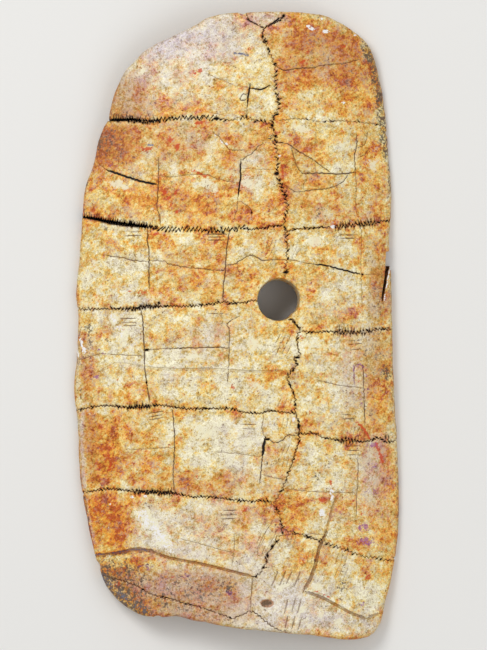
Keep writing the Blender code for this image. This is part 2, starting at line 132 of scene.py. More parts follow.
# The sutures, as stretches from end to end
sutures = [
    ("comb", [(128, 120), (138, 121.4), (150, 121.8), (160, 120)]),
    ("saw", [(158, 120.4), (166, 119), (178, 118.6), (204, 118), (219, 119.4)]),
    ("beaded", [(219, 119), (233, 120.6), (243, 117.6), (255, 121), (271, 124)]),
    ("faint",
     [(279, 120.8), (286, 120.3), (294, 118.8), (311, 120.6), (322, 122), (336, 121), (359, 122.2),
      (386, 125.5)]),
    ("comb", [(136, 225.4), (147, 226.6), (158, 228.4)]),
    ("saw",
     [(154, 228), (169.5, 229.4), (196, 229.5), (213, 231.4), (226, 230), (241, 228.4), (250, 229.4)]),
    ("fine", [(250, 229.4), (263, 228.6), (270, 226.6), (283.6, 225.4)]),
    ("plain", [(287, 231.5), (301, 228.8), (330, 227.3)]),
    ("tall", [(334, 227), (351, 225.6), (364, 224), (376, 223.4)]),
    ("fine", [(375, 223.2), (386, 220.6), (392, 221.5)]),
    ("fine", [(76, 308.8), (84, 309.5), (99, 308.8), (132, 309)]),
    ("comb", [(131, 309), (142, 307.6), (160, 306.4)]),
    ("fine", [(158, 306.3), (171, 306.3), (185, 306.5), (205, 305), (222, 302.2)]),
    ("plain", [(221, 302.3), (238, 303), (251, 300.8), (258.5, 300.4)]),
    ("plain", [(300, 330.3), (312, 332.2), (334, 331.3)]),
    ("tall", [(333, 331.5), (350, 332.6), (371, 331.6)]),
    ("fine", [(370, 331.4), (378, 329.2), (392, 329)]),
    ("fine", [(75.5, 409.3), (81, 409.6), (95, 406.4), (110, 406), (128, 407.4)]),
    ("comb", [(127, 407.4), (136, 407), (151, 405.4)]),
    ("fine", [(150, 405.6), (165, 405.6), (183, 408.3), (201, 408.4), (230, 408.4), (239, 410)]),
    ("plain", [(238, 409.8), (243, 412.4), (260, 412.8), (270, 411), (295, 413)]),
    ("plain", [(297.6, 433.7), (316.7, 433.4), (321, 436.5), (340, 440)]),
    ("tall", [(339, 440), (349, 440.4), (362, 442)]),
    ("fine", [(361, 442), (369, 440.4), (379.7, 438.2), (386, 442.2), (398, 440)]),
    ("fine", [(81.5, 492.8), (96.5, 490.7), (113, 488.8), (136, 491.4)]),
    ("comb", [(134, 491.3), (150, 492), (174, 492.5)]),
    ("fine", [(173, 492.5), (191, 496.2), (207, 496.4), (220, 497.5)]),
    ("plain", [(219, 497.5), (234, 499.7), (254.6, 500.9), (267, 500.7), (273, 504)]),
    ("hair", [(282.8, 528), (292, 532), (304, 535)]),
    ("plain", [(303, 535), (309, 537), (318, 539.8)]),
    ("beaded",
     [(317, 539.6), (328, 543.3), (344, 549), (360.6, 555.3), (377, 557.8), (386, 560.6), (396, 559)]),
    ("hair", [(100, 575), (110.7, 577.7), (127, 582), (142, 588)]),
    ("hair", [(141, 587.7), (153, 594.4), (170, 598), (185, 603)]),
    ("hair", [(184, 602.8), (198, 606), (215, 611.8), (233, 618)]),
    ("hair", [(233, 618), (241.4, 614.7), (249.6, 610.4)]),
    ("hair", [(249.6, 610.4), (256, 613), (264, 619.5), (276, 628), (288, 632)]),
    ("hair", [(246.6, 14), (248, 20), (255, 24.3), (262.5, 27), (263, 30)]),
    ("plain", [(283.3, 15), (281, 20), (275, 23.3), (264, 29.5), (262.5, 36.5)]),
    ("chain", [(262.5, 36), (266.5, 45), (269, 54), (272.5, 60), (275.5, 72), (274.6, 84), (275.4, 93)]),
    ("chain", [(275, 92), (278, 101), (278.5, 108), (274, 117), (271.6, 126)]),
    ("chain", [(272, 126), (274.4, 134), (276, 144), (277.6, 156), (277.2, 166), (276.6, 174)]),
    ("chain", [(277, 173), (280.8, 186), (286, 199), (287.6, 210), (284.5, 220), (284, 226)]),
    ("lace", [(284, 225), (286.5, 236), (287.4, 250), (286, 262), (285.2, 277)]),
    ("fringe", [(103, 120), (112, 120.2), (131, 119.8), (146, 121)]),
    ("fringe", [(80, 216.6), (95, 218.8), (113, 222.7), (133, 225.3), (149, 227)]),
    ("torn", [(288.5, 318), (296.8, 326), (300, 330), (297, 336), (297.5, 346), (300.6, 355)]),
    ("torn", [(300.6, 355), (293.6, 358), (297, 364), (290, 373), (287, 378.4)]),
    ("torn", [(287, 378), (292, 390), (295, 399), (294.2, 413)]),
    ("torn", [(294, 412), (298.5, 421), (298.6, 433), (298.6, 442), (294.7, 452.7), (292, 464)]),
    ("faded", [(292, 463), (287, 475.7), (281.6, 489.8), (273, 504)]),
    ("faded", [(273, 504), (278, 511.4), (282, 524.6), (281.5, 531), (283, 534.6)]),
    ("faded", [(282.8, 534.6), (275.4, 536.7), (277, 541), (271.6, 547), (267, 556)]),
    ("faded", [(267, 555), (265.6, 562.5), (259, 573.5), (253, 576.4)]),
]

# Black places where the sutures gape, painted black for dirt in them and for the painted shade of the
# open gap: middle, half length along the plate and half width
gapes = [
    ((283.3, 16.4), 2.2, 1.8), ((266, 42), 1.6, 2.2), ((262.6, 37), 1.6, 1.3), ((268.4, 49.6), 1.5, 1.1),
    ((275, 64.4), 1.5, 2.2), ((278.2, 99.4), 1.4, 1.8), ((279.4, 104.6), 1.2, 2.1),
    ((277, 114.8), 1.7, 2.3), ((272, 125.8), 2.5, 1.6), ((276.8, 173.9), 2.0, 3.2),
    ((279.6, 180.6), 1.4, 1.5), ((285.8, 272.4), 1.4, 2.9), ((216.5, 119), 1.5, 3.2),
    ((295, 404.4), 1.6, 1.3), ((298.4, 426), 3.2, 1.4), ((276.4, 541.2), 1.5, 1.4),
    ((272.2, 546), 2.1, 1.8), ((267.2, 555), 2.5, 1.3), ((146.9, 349.9), 1.2, 2.9),
    ((146.6, 382.4), 1.7, 1.1), ((297.2, 357.4), 1.1, 3.0), ((159.2, 303), 1.6, 1.7),
    ((267, 463), 1.6, 0.7), ((308.6, 536.8), 1.0, 2.8), ((284.6, 195), 0.9, 2.0), ((282, 188), 0.8, 1.8),
    ((293.8, 322), 1.6, 1.0), ((297.5, 364), 1.2, 0.9), ((251.6, 213), 1.1, 0.8),
    ((362, 274.4), 1.1, 1.0), ((281, 143), 0.8, 2.8), ((275.4, 136.4), 1.6, 2.2),
    ((282.6, 532.6), 1.4, 0.9), ((267.4, 439), 1.2, 3.0), ((263.4, 566.6), 0.9, 1.4),
    ((254, 576), 0.8, 2.0), ((286.6, 480), 1.6, 0.8), ((385.6, 437.6), 2.4, 0.8),
    ((388.6, 437), 2.0, 0.7), ((266.4, 561), 1.2, 0.8), ((283, 489), 1.4, 0.8),
]

# Stretches of suture that have opened right through, and half the gap's width from rim to inner end
openSlits = [
    ([(98, 120), (112, 120.2), (131, 119.8), (142, 121)], (0.9, 1.1, 1.2, 0.9)),
    ([(76, 216.4), (95, 218.8), (113, 222.7), (133, 225.3), (147, 227)], (0.7, 1.0, 1.5, 1.5, 1.0)),
]
splinterWedge = [
    (394, 250), (386, 252), (385.6, 262), (385.2, 270), (384.2, 279), (383.2, 285), (382.2, 292),
    (381.4, 298), (382.1, 301.5), (383.4, 301.5), (384.4, 296), (385.8, 290), (387.2, 280),
    (388.9, 271), (390.2, 265.4), (392, 262), (396, 256),
]

# Seams of the horny scutes: points, half width, darkness
sulci = [
    ([(92, 555), (105, 554.8), (123, 551.8), (134, 549.2), (148, 550), (157, 552.6)], 1.4, 0.5),
    ([(155, 552), (170, 557.4), (200, 563), (231, 570.3), (252.5, 576)], 1.05, 0.42),
    ([(338, 494), (332.4, 506.4), (326.6, 529.6)], 0.9, 0.3),
    ([(327, 528), (322.6, 540), (319, 548), (313.7, 569.6), (303, 592)], 1.25, 0.5),
    ([(305, 591), (319.6, 596), (336, 604.4), (351.4, 613), (366, 618.4)], 1.15, 0.44),
    ([(366, 618.4), (376, 614.6), (384, 612)], 1.2, 0.34),
    ([(84, 379.5), (100.7, 371.5), (110, 365.9), (120, 363.2), (143, 366.5)], 1.3, 0.1),
    ([(143, 366.5), (169.5, 369), (213, 368.7)], 1.2, 0.22),
    ([(211, 368.7), (239.7, 370.7), (263, 371.5), (279.5, 370.7), (287, 374.8)], 1.1, 0.22),
]

# Burnt cracks: points, half width, darkness
cracks = [
    ([(96, 162), (101.5, 166.4), (107, 170)], 0.5, 0.5),
    ([(107, 170), (123, 175.5), (141, 181.3), (158, 185)], 1.15, 1.0),
    ([(158.3, 158), (159, 170), (158.3, 185), (158, 198), (157, 208), (159.6, 215.3), (161, 226)], 0.62,
     0.72),
    ([(152, 176), (173.6, 177), (192.4, 175), (207, 175), (219, 179.6), (237, 183.4)], 0.42, 0.5),
    ([(250, 84.5), (249.6, 90), (247.7, 99.8), (247.4, 106)], 0.9, 1.0),
    ([(247.4, 104), (247.2, 116)], 0.45, 0.45),
    ([(250.5, 89), (256.5, 89.6), (262.7, 89.5), (270, 86)], 0.8, 0.9),
    ([(248, 99.8), (240.7, 101.2), (240.4, 98.3), (242.8, 95), (247.3, 94.5)], 0.75, 0.85),
    ([(205, 73.8), (226, 82), (233.6, 85.3), (247.3, 88)], 0.42, 0.42),
    ([(209, 112.8), (221, 115)], 0.4, 0.4),
    ([(275, 64), (278.7, 68.5), (283.3, 70.8), (291.4, 70), (301, 68.8), (315, 68)], 0.65, 0.85),
    ([(315, 68), (319.7, 66.2), (335, 64.2), (345.7, 63.5), (359.5, 59.3)], 0.5, 0.6),
    ([(241, 160), (240.5, 168), (241, 175.5), (239.7, 183.8), (238.2, 197)], 0.78, 0.88),
    ([(238.2, 196), (236.8, 209.5), (234.5, 219)], 0.55, 0.6),
    ([(240.6, 162), (246.3, 157), (252, 154), (257, 148), (263, 144)], 0.62, 0.7),
    ([(238, 200.4), (243.8, 203.7), (249.7, 207.8), (251.5, 213), (252, 220)], 0.45, 0.55),
    ([(241.4, 168.8), (263, 169.7), (274, 170)], 0.38, 0.4),
    # the chipped step near (220, 140): its dark line is partly painted shadow under the step
    ([(213, 132.4), (219.4, 137.4), (224, 143), (230, 150), (238, 150.6), (245, 150.4)], 0.6, 0.55),
    ([(282, 144.4), (288, 144.6), (297, 151), (311.7, 159.3), (320.8, 166), (331.6, 173.6)], 0.62, 0.78),
    ([(291, 148), (294.3, 159), (297, 167), (302.6, 174)], 0.5, 0.6),
    ([(302.6, 174), (315, 173.4), (331.6, 173.8), (344, 173.8), (355.5, 172.4)], 0.75, 0.92),
    ([(356.5, 134), (356.3, 147), (354.5, 154), (354.8, 163), (355.3, 172)], 0.6, 0.72),
    ([(355.3, 171), (356.2, 186), (355.7, 201), (356.5, 212)], 0.48, 0.5),
    ([(356.5, 148.4), (364, 144.8), (366, 140.7), (367.3, 133)], 0.55, 0.62),
    ([(358, 158), (364, 154.8), (368, 150.6)], 0.5, 0.5),
    ([(347.4, 174.7), (344, 180.5), (338, 185), (327.5, 188.7), (311, 190.4), (298.4, 192.5)], 0.6, 0.72),
    ([(298.4, 192.5), (291, 189.6), (284, 184.6)], 0.55, 0.62),
    ([(306, 181.3), (303.4, 184.6), (304, 189.8)], 0.4, 0.42),
    ([(315.4, 118), (316, 135), (314.6, 152), (315.5, 171)], 0.4, 0.32),
    ([(148, 231.6), (147.5, 242.4), (149.2, 252.3), (149.2, 273), (149.6, 289)], 0.72, 0.85),
    ([(104.8, 255), (112.3, 256.5), (123, 257.7), (133, 260.6), (148, 261.8)], 0.6, 0.72),
    ([(150.4, 260.6), (164.5, 261.4), (171, 264.7), (196.6, 268.5), (224, 271)], 0.58, 0.62),
    ([(229.8, 231), (227.3, 244), (225.8, 262), (224.8, 277), (222.8, 294), (224.4, 303)], 0.68, 0.82),
    ([(226, 265), (234.7, 264), (241.4, 260), (251.3, 255.6), (262, 260), (276, 259.8)], 0.58, 0.78),
    ([(276, 259.8), (293.6, 260.2), (305, 263), (316, 264.6)], 0.45, 0.6),
    ([(314, 264.3), (329, 266.4), (349.8, 271.8), (361, 274.2)], 0.8, 0.95),
    ([(361, 274.3), (384, 274.3)], 0.4, 0.42),
    ([(329, 266.4), (325, 270)], 0.5, 0.6),
    ([(361.5, 230), (361, 262), (362, 306)], 0.42, 0.38),
    ([(141.3, 310), (143, 322.8), (144.2, 344.4), (145, 365.7), (146.7, 382.3), (150, 402)], 0.72, 0.88),
    ([(77.5, 360), (86.6, 357.8), (97.4, 354.5), (107, 353.7), (131.4, 355.3), (144, 356)], 0.48, 0.55),
    ([(151, 350), (166, 348.7), (185, 348)], 0.5, 0.55),
    ([(173, 348.4), (205, 347.4), (228, 347.9)], 0.68, 0.85),
    ([(239.7, 316), (231.4, 320.3), (226.6, 325.3), (229.3, 331), (228.9, 360), (227.7, 382)], 0.6, 0.68),
    ([(319, 380), (334, 384.3), (347.4, 386), (363, 388)], 0.52, 0.58),
    ([(363, 365), (363.9, 393), (364.4, 409.6), (364.8, 424)], 0.6, 0.72),
    ([(354.3, 384), (354, 368), (358, 364.4), (363, 366.5)], 0.5, 0.45),
    ([(172.8, 409.6), (174.5, 431), (174.2, 455), (173.2, 475), (174.6, 491.5)], 0.66, 0.8),
    ([(126.4, 449.4), (140.5, 449), (161, 447.8), (173.6, 447.4)], 0.42, 0.45),
    ([(214.8, 452), (233, 452.7), (250.5, 455), (261, 456.5)], 0.42, 0.45),
    ([(265.4, 437), (263.7, 445.3), (262.5, 457)], 1.5, 1.0),
    ([(262.5, 456), (261.3, 466.6), (260, 482.3)], 0.7, 0.85),
    ([(265, 437), (262, 428.7), (263.7, 416.3)], 0.5, 0.55),
    ([(266, 437.4), (273.7, 442), (282, 440.3), (287, 435), (296, 435.4)], 0.55, 0.85),
    ([(262, 474), (271, 477), (283.6, 479)], 0.42, 0.5),
    ([(357.7, 457.5), (357.7, 483), (356.5, 495), (356.5, 514.7)], 0.5, 0.6),
    ([(286, 488), (300, 490), (325, 492), (356.5, 492.7)], 0.42, 0.5),
    ([(181.7, 538.7), (200, 543), (221.5, 549.5), (234, 552.4)], 0.42, 0.48),
    ([(234.3, 534.6), (234, 552.4), (231.8, 565.3)], 0.42, 0.45),
    ([(104, 494.8), (108, 507)], 0.6, 0.35),
    ([(253, 576.3), (252.2, 584), (251.4, 592), (250.5, 609)], 0.6, 0.56),
    ([(267, 504), (266.5, 510), (272, 511.5), (284.6, 510.4), (284.6, 503), (276, 504)], 0.35, 0.4),
    ([(272, 521), (263, 536), (258.6, 546), (257.6, 554), (261.6, 556)], 0.5, 0.45),
    ([(265, 552), (271.6, 540.6), (276, 531)], 0.4, 0.4),
    ([(283, 534.6), (300, 534), (312, 533.6), (326, 534)], 0.45, 0.45),
    ([(234.3, 53.5), (248, 55.4)], 0.5, 0.3),
    ([(290, 313), (296, 308.6), (299, 307)], 0.5, 0.75),
    ([(282.5, 17), (276, 21.5), (268, 26.5), (264, 29.5)], 0.95, 1.0),
    ([(246.6, 14.5), (250, 21), (256, 24.5), (262.6, 28.5)], 0.7, 0.9),
]

# Number marks: rows of short parallel strokes, as the left and right end of each
numberMarks = [
    ((129, 232), (140.5, 232)), ((126, 235.7), (141, 235.7)),
    ((205.7, 234.5), (229, 234.5)), ((209, 237.4), (224, 237.2)), ((205.7, 240.3), (226, 240.3)),
    ((121, 318.7), (136, 318.5)), ((123, 322.6), (136, 322.4)), ((124, 325.9), (136, 325.6)),
    ((209, 313.7), (223, 313.7)),
    ((341, 235), (356.5, 235)), ((340.7, 238.4), (356.5, 238.4)),
    ((350.7, 340.8), (361.5, 340)), ((350, 344.6), (361.5, 343.4)), ((351.5, 349.8), (361, 349)),
    ((149.6, 413.2), (163, 411)), ((150, 416.7), (162, 414.6)), ((150, 419.8), (163, 417.5)),
    ((243, 424), (255.5, 424.4)), ((243, 428.3), (253, 428.8)),
    ((342.4, 414.6), (352.3, 414.8)), ((343, 418.7), (354.8, 418.7)),
    ((347.4, 446), (360, 445.8)), ((347.4, 450.3), (359, 450.2)), ((347.4, 454.6), (360.6, 455)),
    ((224, 510), (237, 509.8)), ((221.5, 514.7), (236.4, 514.2)), ((222, 518.6), (234.7, 518)),
]

# Rows of plain slanting strokes: box, how many rows, strokes a row, half width, darkness
strokeRows = [
    ((265, 240, 277, 258), 2, 3, 0.5, 0.46),
    ((291, 243, 299, 259), 2, 2, 0.5, 0.46),
    ((275, 333, 292, 356), 2, 3, 0.6, 0.60),
    ((277, 396, 293, 408), 1, 3, 0.5, 0.50),
    ((281, 417, 293, 430), 1, 3, 0.5, 0.44),
    ((349, 426, 360, 435), 1, 3, 0.5, 0.50),
    ((281, 444, 290, 468), 2, 2, 0.5, 0.48),
    ((263, 507, 271, 514), 1, 3, 0.5, 0.48),
    ((256, 534, 266, 556), 2, 2, 0.6, 0.55),
    ((286, 530, 297, 545), 1, 3, 0.5, 0.48),
    ((271, 569, 301, 587), 1, 4, 0.9, 0.42),
    ((283, 597, 303, 631), 2, 3, 0.9, 0.42),
    ((306, 548, 314, 566), 1, 2, 0.6, 0.42),
    ((334, 552, 349, 578), 2, 3, 0.7, 0.44),
]

# Broad fields of colour, flat in the middle: middle, half width, half height, strength
fields = {
    "pale": [
        (246, 62, 28, 44, 0.28), (258, 82, 16, 32, 0.5), (215, 34, 44, 18, 0.42), (190, 80, 52, 34, 0.20),
        (110, 262, 38, 36, 0.42), (165, 255, 30, 26, 0.2), (325, 243, 36, 15, 0.46),
        (325, 126, 40, 14, 0.14), (350, 180, 30, 26, 0.06), (185, 362, 104, 34, 0.42),
        (250, 372, 34, 28, 0.3), (215, 440, 54, 26, 0.55), (186, 532, 38, 30, 0.34),
        (318, 380, 30, 44, 0.42), (318, 470, 26, 26, 0.34), (285, 603, 42, 30, 0.74),
        (345, 598, 36, 32, 0.68), (325, 295, 30, 28, 0.32), (118, 330, 26, 18, 0.4),
        (252, 560, 30, 18, 0.45), (345, 300, 30, 24, 0.2), (312, 622, 60, 12, 0.6),
        (330, 515, 30, 14, 0.2), (380, 545, 12, 40, 0.14),
    ],
    "warm": [
        (322, 56, 52, 36, 0.58), (352, 90, 26, 24, 0.44), (318, 94, 30, 18, 0.3),
        (228, 152, 36, 34, 0.18), (256, 140, 12, 12, 0.34), (120, 200, 44, 22, 0.36),
        (190, 205, 56, 20, 0.42), (150, 196, 22, 20, 0.6), (236, 276, 26, 28, 0.08),
        (104, 452, 20, 38, 0.66), (105, 521, 25, 30, 1.02), (144, 446, 24, 38, 0.05),
        (374, 390, 17, 40, 0.3), (376, 560, 18, 34, 0.12), (84, 220, 12, 50, 0.2), (380, 220, 8, 60, 0.3),
        (200, 482, 60, 12, 0.28), (305, 165, 36, 50, 0.24), (355, 165, 34, 46, 0.1),
        (90, 384, 14, 24, 0.2), (296, 512, 24, 14, 0.2), (234, 528, 22, 16, 0.26), (80, 300, 8, 20, 0.2),
        (290, 270, 20, 40, 0.12), (108, 144, 28, 21, 0.95), (165, 107, 56, 10, 0.36),
        (150, 140, 30, 22, 0.1), (182, 140, 28, 24, 0.24), (185, 590, 66, 20, 0.3),
        (200, 608, 56, 12, 0.3), (388, 505, 9, 60, 0.42),
    ],
    "rose": [
        (112, 143, 30, 21, 0.75), (140, 141, 20, 18, 0.5), (96, 150, 12, 24, 0.7),
        (172, 145, 36, 26, 0.4), (124, 98, 26, 24, 1.0), (320, 52, 44, 26, 0.55), (230, 156, 34, 30, 0.2),
        (185, 590, 68, 22, 1.0), (124, 586, 26, 18, 1.0), (374, 468, 14, 36, 0.46),
        (142, 604, 22, 10, 0.85), (205, 613, 46, 12, 0.85), (232, 602, 20, 18, 0.8),
        (354, 380, 12, 50, 0.36), (378, 288, 11, 36, 0.7), (330, 515, 34, 14, 0.16),
        (88, 440, 10, 40, 0.6), (372, 470, 20, 46, 0.24), (335, 560, 26, 20, 0.1),
        (190, 270, 50, 24, 0.1), (215, 340, 34, 22, 0.2), (150, 440, 24, 40, 0.12),
        (200, 482, 66, 11, 0.34), (345, 205, 42, 18, 0.2), (280, 470, 14, 34, 0.2),
        (86, 368, 10, 34, 0.4), (262, 545, 16, 16, 0.14), (215, 515, 50, 10, 0.2),
        (364, 424, 16, 12, 0.3), (300, 186, 18, 30, 0.2), (374, 60, 14, 26, 0.4),
        (374, 355, 14, 30, 0.62), (200, 550, 40, 10, 0.25),
    ],
    "grey": [
        (104, 143, 22, 18, 0.4), (85, 350, 9, 24, 0.4), (374, 356, 14, 26, 0.3), (118, 582, 34, 24, 0.62),
        (182, 588, 60, 18, 0.38), (375, 300, 14, 30, 0.12),
    ],
    "lilac": [
        # the first three: the lilac along the upper left rim, the bone's tone and a painted sheen where
        # the rim faces the light
        (190, 46, 60, 18, 0.9), (172, 66, 46, 22, 0.5), (236, 24, 44, 12, 0.5), (190, 92, 56, 26, 0.26),
        (150, 527, 20, 28, 0.42), (205, 530, 56, 28, 0.42), (210, 612, 44, 10, 0.4),
        (284, 606, 46, 30, 0.56), (180, 584, 60, 14, 0.24), (212, 345, 34, 22, 0.26),
        (300, 622, 62, 13, 0.6), (374, 478, 17, 40, 0.32), (250, 452, 28, 38, 0.26),
        (128, 303, 50, 10, 0.2), (340, 380, 22, 44, 0.2), (345, 480, 40, 26, 0.16),
        (120, 330, 26, 18, 0.2), (248, 560, 26, 18, 0.46), (360, 620, 26, 14, 0.3),
        (246, 165, 20, 20, 0.16), (345, 300, 40, 22, 0.16), (86, 350, 10, 26, 0.3),
        (200, 552, 40, 10, 0.1),
    ],
}

